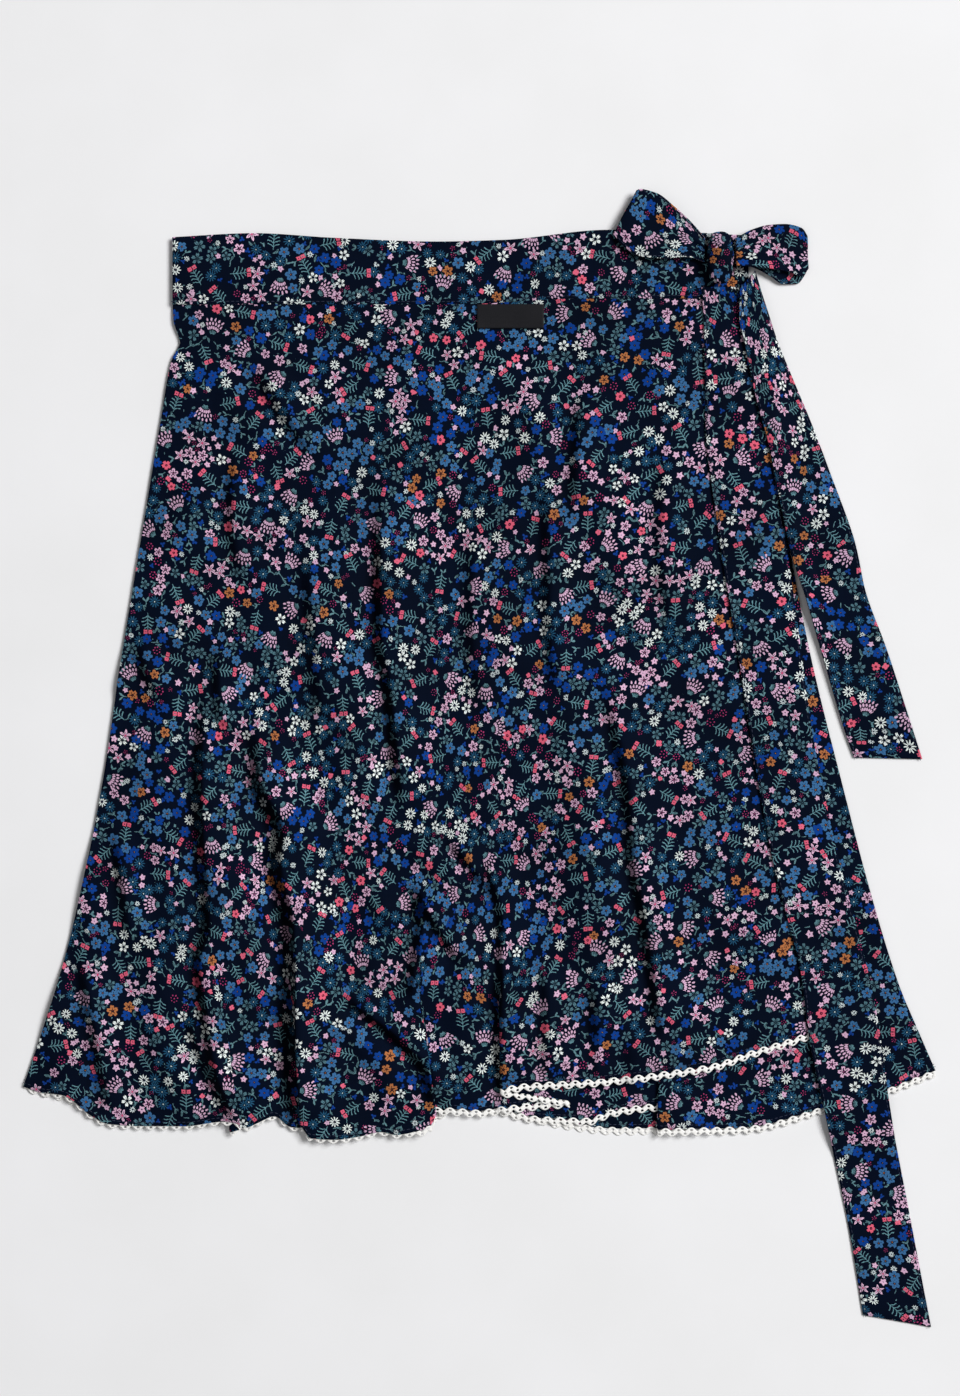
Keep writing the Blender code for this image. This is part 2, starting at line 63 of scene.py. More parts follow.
# Room between layers and the heights of their middles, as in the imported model.
CAD_CLOTH = 1.0
CAD_BAND = 1.2
CAD_TIE = 1.4
GAP = 0.3
TIE_GAP = 0.8
DOME = 0.2
BACK_LEVEL = CAD_CLOTH / 2
UNDER_LEVEL = BACK_LEVEL + CAD_CLOTH + GAP
OVER_LEVEL = UNDER_LEVEL + CAD_CLOTH + GAP + DOME
OVER_TOP = OVER_LEVEL + CAD_CLOTH / 2
BAND_LEVELS = [CAD_BAND / 2 + layer * (CAD_BAND + GAP) for layer in range(3)]
BAND_TOP = BAND_LEVELS[2] + CAD_BAND / 2
LACE_WIDTH = 5.6
LABEL_WIDTH = 44.0
LABEL_DROP = 16.0
LABEL_MIDDLE = 21.0
# The label lies this high over the cloth, its middle this much more, and its corners lift by the curl.
LABEL_LIFT = 0.5
LABEL_HALF = 0.5
LABEL_CURL = 0.5

# A pleat: the radius its cloth bends at, its depth once it has tapered away, and the run over which
# the cloth on top comes down.
BEND = 0.9
LEAST_DEPTH = 0.5
PLEAT_RUN = 40.0
LEFT_RUN = 25.0
# A panel's top edge goes this far into the waistband's seam.
SEAM_TUCK = 1.0

Point = namedtuple("Point", "x y")
Pleat = namedtuple("Pleat", "x_hem x_gone x_seam y_full y_gone depth top_side tip taken_up")
Wave = namedtuple("Wave", "x_hem x_up y_up half_width height")
Fold = namedtuple("Fold", "line height fall run far fade_top fade_low")
Ripple = namedtuple("Ripple", "across down start height")
Station = namedtuple("Station", "left_x left_y right_x right_y")
Turn = namedtuple("Turn", "top_x top_y top_z low_x low_y low_z")
Panel = namedtuple("Panel", "level left right hem pleats left_drop")
Flower = namedtuple("Flower", "name share count reach length width sharp notch vein core ring petal centre")


def records(kind, text):
    """Records of one kind, from a table of numbers with a comma between the records."""
    return [kind(*map(float, record.split())) for record in text.split(",")]


def outline(text):
    """A line of points, from a table of their x and y."""
    return records(Point, text)


WAIST_TOP = outline("-201.6 343.6, -147.5 346.2, -96 343.2, -28 340.7, 16.2 341.8, 85.5 348.4, 178 345")
WAIST_SEAM = outline("-201.6 299.2, -12 299.4, 64 303, 178 303.2")
LEFT_SIDE = outline("""
    -201.7 299, -200.9 286.8, -196.6 273.6, -202.3 262, -209.9 219.5, -224.7 131, -236 62.4,
    -247.2 -12.2, -263 -92.1, -276.9 -146.2, -289.4 -185.1, -300.2 -216.2""")
RIGHT_SIDE = outline("""
    178 303, 206 133, 220.1 62.4, 240.6 -20.1, 258.4 -88.1, 276.9 -148.2, 290.7 -181.2, 301.3 -205.6""")
# The over-lap's free edge runs under the long tie.
OVER_EDGE = outline("158 303, 170.6 212.2, 188.4 104.6, 199.7 10.2, 212.2 -57.1, 233.3 -174.6")
UNDER_EDGE = outline("-100 303, -120 -192.4")

# Each hem is one table for each stretch between two pleats.
OVER_HEM = [
    outline("""
        -300.2 -216.2, -288.1 -220.1, -274.2 -221.4, -254.4 -235.6, -243.9 -240.6, -224.7 -241.9,
        -193.7 -241.9, -167.3 -238.6, -158 -240"""),
    outline("""
        -160 -243, -153.5 -243.2, -144.9 -239.6, -134.3 -235.4, -123.8 -242.6, -104 -244"""),
    outline("""
        -116 -242.5, -110.6 -249.6, -94.1 -250.5, -77.6 -248.5, -63.4 -245.6, -54.5 -247.4,
        -41.3 -245.2, -31.4 -241.5, -28.7 -236.5"""),
    outline("-42 -230, -17.5 -230.7, 1 -232, 18.2 -229.3, 60 -225.4"),
    outline("""
        15.2 -217.4, 25 -214.8, 62 -212.4, 90 -210.4, 128.4 -205.4, 154.8 -201.2, 179.2 -193.2,
        214.2 -182.2, 233.3 -174.6"""),
]
UNDER_HEM = [
    outline("""
        -120 -192.4, -52 -215, 1 -227, 40.6 -236.6, 72 -237.6, 88 -232, 118.5 -228, 134 -227.4"""),
    outline("""
        116.5 -244.3, 138.3 -243.7, 170.6 -243.4, 186.5 -241.9, 202.3 -237.9, 225.4 -230.7,
        269.6 -218.1, 301.3 -205.6"""),
]
BACK_HEM = [
    outline("""
        -299.6 -214.6, -263 -226, -244 -237.6, -194 -239.6, -134 -232.6, -94 -246, -32 -236.6,
        -12 -228.4, 14 -230.4, 54 -239.8, 93 -244, 118 -243.6, 170.6 -241.4, 202 -236, 225.4 -229,
        269.6 -216.4, 300.7 -204.2"""),
]
# x_hem, x_gone and x_seam place the pleat's showing edge at the hem, where it fades and at the
# waist. Its depth tapers from the hem to nothing at y_full, and it lies flat from y_gone up.
# top_side is 1 where the cloth right of the edge lies on top and -1 where the left does, and tip
# is how far the folded hem hangs lower.
OVER_PLEATS = [
    Pleat(-158, -168, -160, -190, -140, 5, -1, 5, 10),
    Pleat(-116, -121, -105, -190, -110, 12, 1, 0, 16),
    Pleat(-28.7, -42, -45, -190, -110, 13, -1, 0, 16),
    Pleat(15.2, 14.5, 5, -168, -140, 44, 1, 0, 24),
]
UNDER_PLEATS = [Pleat(118.5, 120, 100, -208, -196, 14, 1, 0, 16)]

# Soft ridges of the over-lap, from the hem up to where each dies out.
WAVES = [
    Wave(-262, -226, -20, 30, 2.2), Wave(-206, -186, 60, 34, 3),
    Wave(-138, -150, 20, 20, 2), Wave(-78, -92, 120, 34, 3.2),
    Wave(-8, -20, 60, 24, 2), Wave(90, 58, 140, 36, 3),
]
WAVE_FOOT = -245.0
# Where the over-lap climbs the pleat of the panel under it, from where it starts to where it is
# full, and the same on the way down.
CLIMB_START = 92.0
CLIMB_LEFT = 104.0
CLIMB_RIGHT = 142.0
CLIMB_END = 182.0
CLIMB_TOP = -176.0
CLIMB_FULL = -196.0
CLIMB_HEIGHT = 4.2

# What lies on the skirt steps off the waistband over this stretch, and falls to the table over these
# runs past the side and the hem.
BAND_STEP_LOW = 282.0
BAND_STEP_HIGH = 300.0
SIDE_CLEAR = 3.0
SIDE_RUN = 12.0
HEM_CLEAR = 4.0
HEM_RUN = 26.0
# The short tail lies over the long one by this much, and falls beside it over this run. By the
# knot it stands higher.
TAIL_LIFT = 0.15
TAIL_CLEAR = 5.0
TAIL_RUN = 13.0
KNOT_RISE = 2.0
KNOT_RISE_TOP = 312.0
KNOT_RISE_LOW = 272.0
KNOT_RISE_WIDTH = 25.0

# The free end of each tie from the knot down, by its two edges.
LONG_TAIL = records(Station, """
    146.6 310.6 171.2 310.6, 148.2 286.8 180.5 289.4, 148.8 253 187.8 256.4, 149.5 216.8 191.1 220.8,
    158.1 147.5 201 154.8, 172.6 57 213.5 63, 179.9 8.9 220.1 15.5, 194.4 -70.3 236.6 -63.7,
    212.2 -141.6 254.4 -131.7, 217.5 -182.5 263 -172.6, 228 -233.3 270.3 -225.4,
    243.9 -307.9 284.1 -299.3, 253.6 -367 298.5 -374.9""")
SHORT_TAIL = records(Station, """
    171.6 309 182 321, 171.3 290.7 189.8 296, 175.9 268.3 196.4 276.2, 182.5 236.6 208.2 248.5,
    189.8 210.2 219.5 221.4, 197 175.2 232 188.4, 206 133 248.8 141, 214.8 107.2 255.1 111.2,
    228.4 61.7 269 72.9, 241.2 18.8 282.8 30.7, 247.6 0.7 292.7 -0.3""")
# Each bow loop from the knot out along its upper layer, round its far end and back underneath.
LEFT_LOOP = records(Turn, """
    148.8 342 10.8 148.6 326.4 10.8, 139.6 352.6 10.9 136.3 329.7 11.3,
    129 362.6 10.2 123.1 328.6 10.9, 117.5 371.6 9.4 107.6 329.6 10.2, 107 374.6 8.4 93.4 338.6 8.8,
    104.4 373.8 6.4 89 344.6 7.2, 107.4 372.8 4.6 94 340.4 5.4, 119.5 367.6 4.8 110.6 332.6 5.4,
    131 357.6 5.6 126.1 332.6 6, 148.8 339 7 148.6 328.4 7""")
RIGHT_LOOP = records(Turn, """
    168.6 341.4 11 169.2 323.6 11, 179.2 347.4 10 183.8 322.8 10.4, 191.1 351 8 195.4 321.6 8.6,
    202.3 351.8 6.6 203.8 320.4 7, 213.2 349 5.4 212.2 317.6 5.6, 216.2 344.6 3.4 217 322.6 3.4,
    213.8 345.4 1.6 210 313 1.6, 201 347 2.6 200.8 312.8 2.4, 190 344 4.6 192.6 317.6 4.4,
    179.2 341.4 6.2 181.2 323.4 5.8, 168.6 338.4 7 169.2 326.6 7""")
KNOT_MIDDLE = (158.6, 329.0, 11.8)
KNOT_HALF = (9.2, 17.4, 7.0)

# Folds of the over-lap. Each has a steep wall along a line, which falls to the left, and a ridge that
# sinks away to the right. The cloth past the wall's foot comes back up by the far share.
FOLDS = [
    Fold(
        outline("-146 40, -141 -14, -126 -49, -128 -67, -119.5 -111, -117.5 -243.2"),
        14.4, 9.6, 34, 0.4, 70, 14,
    ),
    Fold(outline("-170 78, -168 30, -152 14"), 5.1, 8, 20, 0.5, 20, 8),
    Fold(
        outline("-178 60, -180 -27, -175 -111, -181 -133, -177 -164, -170 -204, -158 -240"),
        7.8, 8, 26, 0.5, 60, 10,
    ),
    Fold(outline("-190 -160, -182 -190, -165 -225"), 5.4, 7.2, 16, 0.5, 20, 10),
    Fold(outline("-63 200, -62 78, -57 52, -52 8, -47 -40"), 7.8, 8, 30, 0.5, 80, 30),
    Fold(outline("-44 -78, -22 -115, -6 -140"), 6.8, 7.2, 20, 0.5, 20, 20),
    Fold(outline("-36 -80, -35 -98, -39 -138, -44 -160"), 7.1, 8, 20, 0.5, 18, 16),
    Fold(outline("-84 -150, -79 -160, -53 -181, -31 -206, -27 -228"), 8.5, 8, 22, 0.5, 18, 6),
    Fold(outline("-19 -50, -13 -58, 4 -80, 10 -92"), 5.8, 7.2, 18, 0.5, 12, 16),
    Fold(
        outline("84 60, 92 21, 101 -27, 104 -67, 110 -98, 118 -151, 122 -190"), 7.4, 7.2, 30, 0.5, 60, 20
    ),
    Fold(outline("8 -60, 9 -72, 17 -107, 17 -215"), 5.4, 6.4, 20, 0.3, 16, 0),
    Fold(outline("46 190, 48 130, 49 84, 54 40"), 5.4, 8, 24, 0.5, 40, 30),
    Fold(outline("72 250, 67 206, 65 150"), 5.4, 8, 24, 0.5, 30, 30),
    Fold(outline("-146 262, -128 230, -104 196"), 5.8, 8, 20, 0.5, 16, 16),
    Fold(outline("-222 80, -217 60, -208 36"), 5.4, 8, 16, 0.5, 16, 16),
    Fold(outline("-238 -40, -232 -80, -226 -130"), 5.1, 8, 18, 0.5, 30, 30),
    Fold(outline("-262 -120, -252 -170, -240 -234"), 5.1, 8, 18, 0.5, 30, 10),
    Fold(outline("45 -130, 46 -160, 47 -212"), 4.4, 6.4, 18, 0.4, 20, 8),
    Fold(outline("77 -140, 79 -170, 80 -212"), 4.8, 6.4, 18, 0.4, 20, 6),
    Fold(outline("126 214, 122 150, 130 70"), 4, 8, 22, 0.5, 40, 40),
    Fold(outline("-112 150, -106 80, -100 10"), 4.4, 9.6, 24, 0.5, 40, 40),
    Fold(outline("0 160, -2 90, 6 20"), 4.4, 9.6, 24, 0.5, 40, 40),
    Fold(outline("-158 210, -160 160, -152 110"), 4.4, 8, 20, 0.5, 30, 30),
]
# The cloth lies down towards its hem, where only this share of its rise is left.
HEM_SHARE = 0.35
HEM_REACH = 40.0
HEM_LINE = outline("-300.2 -216.2, -254.4 -235.6, -40 -240, 20 -217, 233.3 -174.6")
# The cloth past a wall's foot comes back up over this many times the wall's own run. The painted shade
# in the hollow by a wall is full from the first of these shares of the wall's run and fades from the
# second. A fold this high or more gets the full painted shade.
FOOT_RUN = 2.5
PAINTED_SHADE_FULL = 0.25
PAINTED_SHADE_OPEN = 0.8
PAINTED_SHADE_HEIGHT = 8.0
# Ripples that cloth keeps after it is smoothed by hand: how many run across and down in a metre,
# where each starts in turns, and its height.
RIPPLES = records(Ripple, """
    31 6 0.13 0.13, 23 -9 0.57 0.15, 47 4 0.31 0.08, 12 14 0.82 0.16,
    61 -11 0.66 0.05, 17 23 0.05 0.10, 8 -19 0.44 0.14, 38 31 0.91 0.05""")
# A ripple wanders by this many turns as it runs down, at this rate, and starts in its own way.
WANDER = 0.35
WANDER_RATE = 0.021
WANDER_START = 7.0
# How much of the ripples shows in the under-lap, the waistband, the ties and the label.
UNDER_RIPPLE = 0.35
BAND_RIPPLE = 0.7
TIE_RIPPLE = 0.5
LABEL_RIPPLE = 0.5
# The waistband gathers towards the knot in folds that fan out from this place. They start past the
# knot's own reach, and the long tie presses them down.
PULL_MIDDLE = Point(152.0, 322.0)
PULL_NEAR = 14.0
PULL_REACH = 78.0
PULL_FOLDS = 11.0
PULL_START = 1.3
PULL_TWIST = 0.02
PULL_HEIGHT = 1.2
PRESSED_FROM = 140.0
PRESSED_RUN = 10.0
PRESSED_SHARE = 0.65
# Small puckers that hang from the waist seam. They stray from their pitch by this many turns, at
# this rate. The other folds start below the seam over its run.
PUCKER_PITCH = 11.0
PUCKER_STRAY = 0.4
PUCKER_STRAY_RATE = 0.05
PUCKER_START = 4.0
PUCKER_DEPTH = 28.0
PUCKER_HEIGHT = 0.28
SEAM_RUN = 10.0
# Width over which a pleat's taken-up cloth spreads in the print once the pleat has gone.
PRINT_SPREAD = 60.0
# A shell's outermost rows lie this share of its thickness inside its border, where its half
# thickness falls to the rim's share, so that its edge is round.
TURN_SHARE = 0.3
RIM_SHARE = 0.26
MOST_INSET = 0.45
BEND_STEPS = 4

# The waistband's ends, and the share of its depth at which it is stitched to the panels. The
# stitches draw it down over the run beside them.
BAND_LEFT = -201.6
BAND_UNDER_LEFT = -100.0
BAND_RIGHT = 178.0
BAND_OVER_RIGHT = 158.0
BAND_ROWS = 25
# Its ripples and pulled folds start over these runs from its left and right ends.
BAND_LEFT_RUN = 8.0
BAND_RIGHT_RUN = 6.0
STITCHED_AT = 0.955
STITCH_PULL = 0.22
STITCH_PULL_RUN = 0.022
# A bow loop's folds: how deep they are, how many cross it, where they start, and the share of its
# way over which they die out from each end. Then the height of the soft wave along it.
LOOP_FOLD = 1.5
LOOP_FOLDS = 2.5
LOOP_FOLD_START = 0.8
LOOP_NEAR = 0.36
LOOP_WAVE = 0.25
# The knot: how square its pillow is, its mesh, how many wraps show, how far they lean, how deep the
# folds between them are, and where its cloth is on the print. The print reaches round its sides by
# this much more than its half size, and its tips lie this far from its middle.
KNOT_SQUARENESS = 0.72
KNOT_ROWS = 48
KNOT_COLUMNS = 64
KNOT_WRAPS = 3.5
KNOT_LEAN = 0.16
KNOT_FOLD = 0.55
KNOT_PLACE = (77.0, 300.0)
KNOT_ROUND = (4.0, 3.0)
KNOT_TIP = np.array([0.0, 20.0])
# The other face of a doubled strip shows another part of the print.
FAR_SIDE = (211.0, 97.0)


def linear(code):
    """A hex colour in linear light, with an alpha of 1."""
    shares = [int(code[start : start + 2], 16) / 255 for start in (1, 3, 5)]
    return (*(s / 12.92 if s <= 0.04045 else ((s + 0.055) / 1.055) ** 2.4 for s in shares), 1.0)


def smooth(share):
    """An even rise from 0 to 1 with level ends."""
    share = np.clip(share, 0.0, 1.0)
    return share * share * (3.0 - 2.0 * share)


def through(places, values, at):
    """A curve through the values that never overshoots them. It is level beyond its ends."""
    places = np.asarray(places, float)
    values = np.asarray(values, float)
    step = np.diff(places)
    rate = np.diff(values) / step
    slope = np.empty_like(values)
    slope[0] = rate[0]
    slope[-1] = rate[-1]
    same_way = rate[1:] * rate[:-1] > 0
    both = np.where(same_way, rate[1:] + rate[:-1], 1.0)
    slope[1:-1] = np.where(same_way, 2.0 * rate[1:] * rate[:-1] / both, 0.0)
    at = np.clip(at, places[0], places[-1])
    left = np.clip(np.searchsorted(places, at) - 1, 0, len(step) - 1)
    t = (at - places[left]) / step[left]
    start = values[left] * (1 + 2 * t) * (1 - t) ** 2 + slope[left] * step[left] * t * (1 - t) ** 2
    end = values[left + 1] * t * t * (3 - 2 * t) - slope[left + 1] * step[left] * t * t * (1 - t)
    return start + end


def height_of(line, x):
    """The y of a line of points at x."""
    return through([point.x for point in line], [point.y for point in line], x)


def edge_of(side, y):
    """The x of a side edge at y. Its points run down from the waist."""
    upward = side[::-1]
    return through([point.y for point in upward], [point.x for point in upward], y)


def packed_rise(x, y):
    """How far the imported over-lap stands above its level, from its waves and the pleat under it."""
    rise = np.zeros(np.broadcast(x, y).shape)
    for wave in WAVES:
        down = np.clip((wave.y_up - y) / (wave.y_up - WAVE_FOOT), 0.0, 1.0)
        off = (x - wave.x_up - (wave.x_hem - wave.x_up) * down) / wave.half_width
        bump = np.where(np.abs(off) < 1, np.cos(off * math.pi / 2) ** 2, 0)
        rise = rise + wave.height * smooth(down) * bump
    return rise + climbed(x, y)


def climbed(x, y):
    """How far the over-lap stands above its level where it lies over the under-lap's pleat."""
    climb = smooth((x - CLIMB_START) / (CLIMB_LEFT - CLIMB_START))
    climb = climb * smooth((CLIMB_END - x) / (CLIMB_END - CLIMB_RIGHT))
    return CLIMB_HEIGHT * climb * smooth((CLIMB_TOP - y) / (CLIMB_TOP - CLIMB_FULL))


def ripple(x, y):
    """Low uneven ripples, never below 0."""
    total = np.zeros(np.broadcast(x, y).shape)
    for across, down, start, height in RIPPLES:
        bend = WANDER * np.sin(WANDER_RATE * y + WANDER_START * start)
        turns = across * x * MM + down * y * MM + start + bend
        total = total + height * (1 + np.sin(2 * math.pi * turns)) / 2
    return total


def along_folds(x, y):
    """Each fold, how far a place lies to the left of its line, and how much of the fold is there."""
    for fold in FOLDS:
        into = smooth((fold.line[0].y - y) / fold.fade_top)
        out = smooth((y - fold.line[-1].y) / fold.fade_low) if fold.fade_low else 1.0
        yield fold, edge_of(fold.line, y) - x, into * out


def folds(x, y):
    """The height that the folds add."""
    total = np.zeros(np.broadcast(x, y).shape)
    for fold, left, share in along_folds(x, y):
        foot = smooth((left - fold.fall) / (FOOT_RUN * fold.fall))
        foot = fold.far * foot * (1 - smooth((left - (1 + FOOT_RUN) * fold.fall) / fold.run))
        wall = np.where(left < fold.fall, 1 - smooth(left / fold.fall), foot)
        profile = np.where(left < 0, 1 - smooth(-left / fold.run), wall)
        total = total + fold.height * profile * share
    return total


def painted_shade_in_folds(x, y):
    """How much painted shade a place gets in the hollow by a fold's wall, from 0 to 1."""
    deepest = np.zeros(np.broadcast(x, y).shape)
    for fold, left, share in along_folds(x, y):
        inside = smooth(left / (PAINTED_SHADE_FULL * fold.fall))
        inside = inside * (1 - smooth((left - PAINTED_SHADE_OPEN * fold.fall) / fold.fall))
        deepest = np.maximum(deepest, inside * share * min(fold.height / PAINTED_SHADE_HEIGHT, 1.0))
    return deepest


def pulled(x, y):
    """Folds of the waistband that fan out from the knot."""
    away_x, away_y = x - PULL_MIDDLE.x, y - PULL_MIDDLE.y
    away = np.hypot(away_x, away_y)
    turn = np.arctan2(away_y, away_x)
    fold = (1 + np.cos(PULL_FOLDS * turn + PULL_START + PULL_TWIST * away)) / 2
    under_tie = 1 - PRESSED_SHARE * smooth((x - PRESSED_FROM) / PRESSED_RUN)
    return PULL_HEIGHT * fold * smooth(1 - away / PULL_REACH) * smooth(away / PULL_NEAR) * under_tie


def over_rise(x, y):
    """How far the over-lap stands above its level, with its folds, ripples and puckers."""
    below_seam = height_of(WAIST_SEAM, x) - y
    turns = x / PUCKER_PITCH + PUCKER_STRAY * np.sin(x * PUCKER_STRAY_RATE)
    there = smooth(1 - below_seam / PUCKER_DEPTH) * smooth(below_seam / PUCKER_START)
    pucker = PUCKER_HEIGHT * (1 + np.sin(2 * math.pi * turns)) / 2 * there
    seam = smooth(below_seam / SEAM_RUN)
    wrinkled = folds(x, y) + ripple(x, y) + pulled(x, y)
    lying = HEM_SHARE + (1 - HEM_SHARE) * smooth((y - height_of(HEM_LINE, x)) / HEM_REACH)
    return climbed(x, y) + (packed_rise(x, y) - climbed(x, y) + wrinkled * seam) * lying + pucker


def under_rise(x, y):
    """How far the under-lap stands above its level."""
    left = edge_of(UNDER_EDGE, y)
    share = np.clip((x - left) / (edge_of(RIGHT_SIDE, y) - left), 0.0, 1.0)
    return DOME * np.sin(math.pi * share) + UNDER_RIPPLE * ripple(x, y)


def no_rise(x, y, share=0.0):
    """A piece that lies flat under others."""
    return np.zeros(np.broadcast(x, y).shape)


def pleat_path(depth, turn, steps):
    """The cloth's way across a pleat: it turns by an angle, runs for its depth and turns back."""
    bend = math.pi * BEND
    first = np.linspace(0.0, bend, steps + 1)
    arc = np.concatenate([first, first + bend + depth])
    angle = turn * np.concatenate([first, first[::-1]]) / bend
    chord = np.diff(arc) * np.sinc(np.diff(angle) / (2 * math.pi))
    heading = (angle[1:] + angle[:-1]) / 2
    across = np.concatenate([[0.0], np.cumsum(chord * np.cos(heading))])
    up = np.concatenate([[0.0], np.cumsum(chord * np.sin(heading))])
    return across, up, arc / arc[-1]


def pleats_at(panel, share, steps):
    """Each pleat's points on the row this share of the way from the seam to the hem."""
    found = []
    for index, pleat in enumerate(panel.pleats):
        y_hem = (panel.hem[index][-1].y + panel.hem[index + 1][0].y) / 2
        y_seam = float(height_of(WAIST_SEAM, pleat.x_seam))
        y = y_seam + (y_hem - y_seam) * share
        opened = float(smooth((y - pleat.y_full) / (pleat.y_gone - pleat.y_full)))
        depth = max(LEAST_DEPTH, pleat.depth * (pleat.y_full - y) / (pleat.y_full - y_hem))
        edge = float(through([y_hem, pleat.y_gone, y_seam], [pleat.x_hem, pleat.x_gone, pleat.x_seam], y))
        across, up, along = pleat_path(depth, pleat.top_side * math.pi * (1 - opened), steps)
        start = edge + pleat.top_side * depth / 2 - across[-1] / 2
        found.append((start + across, up, along, edge, depth, opened))
    return found


def row_of(panel, share, spans, steps):
    """x, height and place across the printed cloth of one row of the panel's sheet."""
    pleats = pleats_at(panel, share, steps)
    ends = []
    for side, y_hem in ((panel.left, panel.hem[0][0].y), (panel.right, panel.hem[-1][-1].y)):
        y_seam = float(height_of(WAIST_SEAM, side[0].x))
        ends.append(float(edge_of(side, y_seam + (y_hem - y_seam) * share)))
    starts = ends[:1] + [pleat[0][-1] for pleat in pleats]
    stops = [pleat[0][0] for pleat in pleats] + ends[1:]
    pieces = []
    passed = []
    for index, span in enumerate(spans):
        stretch = np.linspace(starts[index], stops[index], span + 1)
        pieces.append(stretch[(index > 0) : span + (index == len(pleats))])
        passed.append(np.full(len(pieces[-1]), float(index)))
        if index < len(pleats):
            pieces.append(pleats[index][0])
            passed.append(index + pleats[index][2])
    x = np.concatenate(pieces)
    passed = np.concatenate(passed)
    lift = np.zeros_like(x)
    cloth = x - share * sum(pleat.taken_up for pleat in panel.pleats) / 2
    place = 0
    folded = []
    for index, (across, up, _, edge, depth, opened) in enumerate(pleats):
        place += len(pieces[2 * index])
        side = panel.pleats[index].top_side
        inside = slice(place, place + len(across))
        place += len(across)
        away = side * (x - edge) - depth - 2 * BEND
        on_top = abs(up[-1]) * (1 - smooth(away / PLEAT_RUN))
        if side > 0:
            lift[place:] += on_top[place:]
            lift[inside] += up
        else:
            lift[: inside.start] += on_top[: inside.start]
            lift[inside] += up - up[-1]
        beyond = np.clip(passed - index, 0.0, 1.0)
        spread = smooth(0.5 + (x - edge) / (2 * PRINT_SPREAD))
        taken = beyond * (1 - opened) + spread * opened
        cloth += panel.pleats[index].taken_up * share * taken
        arc = np.concatenate([[0.0], np.cumsum(np.hypot(np.diff(across), np.diff(up)))])
        folded.append((inside, across, arc, side, opened))
    for inside, across, arc, side, opened in folded:
        if side > 0:
            in_step = cloth[inside.stop] - (x[inside.stop] - across[-1]) - arc[-1] + arc
        else:
            in_step = cloth[inside.start - 1] + (across[0] - x[inside.start - 1]) + arc
        cloth[inside] = cloth[inside] * opened + in_step * (1 - opened)
    return x, lift, cloth


def hem_of(panel, x, spans, steps):
    """The hem's y under each column of the sheet."""
    pieces = []
    place = 0
    for index, span in enumerate(spans):
        first = int(index > 0)
        count = span + (index == len(panel.pleats)) - first
        pieces.append(height_of(panel.hem[index], x[place : place + count]))
        place += count
        if index == len(panel.pleats):
            break
        pleat = panel.pleats[index]
        along = pleat_path(pleat.depth, math.pi, steps)[2]
        start = height_of(panel.hem[index], x[place])
        place += len(along)
        end = height_of(panel.hem[index + 1], x[place - 1])
        pieces.append(start + (end - start) * along - pleat.tip * np.sin(math.pi * along))
    return np.concatenate(pieces)


def panel_sheet(panel, shares, spans, steps, rise, shift):
    """A panel's sheet of points. shift moves it on the printed cloth."""
    x_hem, _, _ = row_of(panel, 1.0, spans, steps)
    x_seam, _, _ = row_of(panel, 0.0, spans, steps)
    y_hem = hem_of(panel, x_hem, spans, steps)
    y_seam = height_of(WAIST_SEAM, x_seam) + SEAM_TUCK
    rows = []
    for share in shares:
        x, lift, cloth = row_of(panel, share, spans, steps)
        y = y_seam + (y_hem - y_seam) * share
        drop = panel.left_drop * (1 - smooth((x - x[0]) / LEFT_RUN))
        z = panel.level + lift + rise(x, y) - drop
        rows.append(np.stack([x, y, z, cloth + shift[0], y + shift[1]], axis=1))
    return np.array(rows)


OVER = Panel(OVER_LEVEL, LEFT_SIDE, OVER_EDGE, OVER_HEM, OVER_PLEATS, OVER_LEVEL - UNDER_LEVEL)
UNDER = Panel(UNDER_LEVEL, UNDER_EDGE, RIGHT_SIDE, UNDER_HEM, UNDER_PLEATS, 0.0)
BACK = Panel(BACK_LEVEL, LEFT_SIDE, RIGHT_SIDE, BACK_HEM, [], 0.0)


def panel_sheets():
    """The three panels' sheets, with rows closest together where the pleats open."""
    over_rows = np.concatenate([np.linspace(0.0, 0.6, 72), np.linspace(0.6, 1.0, 81)[1:]])
    under_rows = np.concatenate([np.linspace(0.0, 0.8, 45), np.linspace(0.8, 1.0, 46)[1:]])
    back_rows = np.linspace(0.0, 1.0, 60)
    return {
        "front_over": panel_sheet(OVER, over_rows, [66, 22, 40, 30, 84], BEND_STEPS, over_rise, (0.0, 0.0)),
        "front_under": panel_sheet(UNDER, under_rows, [60, 50], BEND_STEPS, under_rise, (163.0, 71.0)),
        "back": panel_sheet(BACK, back_rows, [110], 0, no_rise, (-412.0, 137.0)),
    }


def bordered(sheet, inset):
    """The sheet with one more row or column just inside each of its borders."""
    for axis in (0, 1):
        sheet = np.swapaxes(sheet, 0, axis)
        added = []
        for edge, inner in ((sheet[0], sheet[1]), (sheet[-1], sheet[-2])):
            step = np.linalg.norm(inner[:, :3] - edge[:, :3], axis=1, keepdims=True)
            added.append([edge + (inner - edge) * np.minimum(inset / np.maximum(step, 1e-6), MOST_INSET)])
        sheet = np.concatenate([sheet[:1], added[0], sheet[1:-1], added[1], sheet[-1:]])
        sheet = np.swapaxes(sheet, 0, axis)
    return sheet


def normals_of(points):
    """The direction out of a sheet at each of its points."""
    normal = np.cross(np.gradient(points, axis=0), np.gradient(points, axis=1))
    return normal / np.maximum(np.linalg.norm(normal, axis=2, keepdims=True), 1e-12)


def new_object(name, data):
    """A new object in the scene."""
    made = bpy.data.objects.new(name, data)
    bpy.context.scene.collection.objects.link(made)
    return made


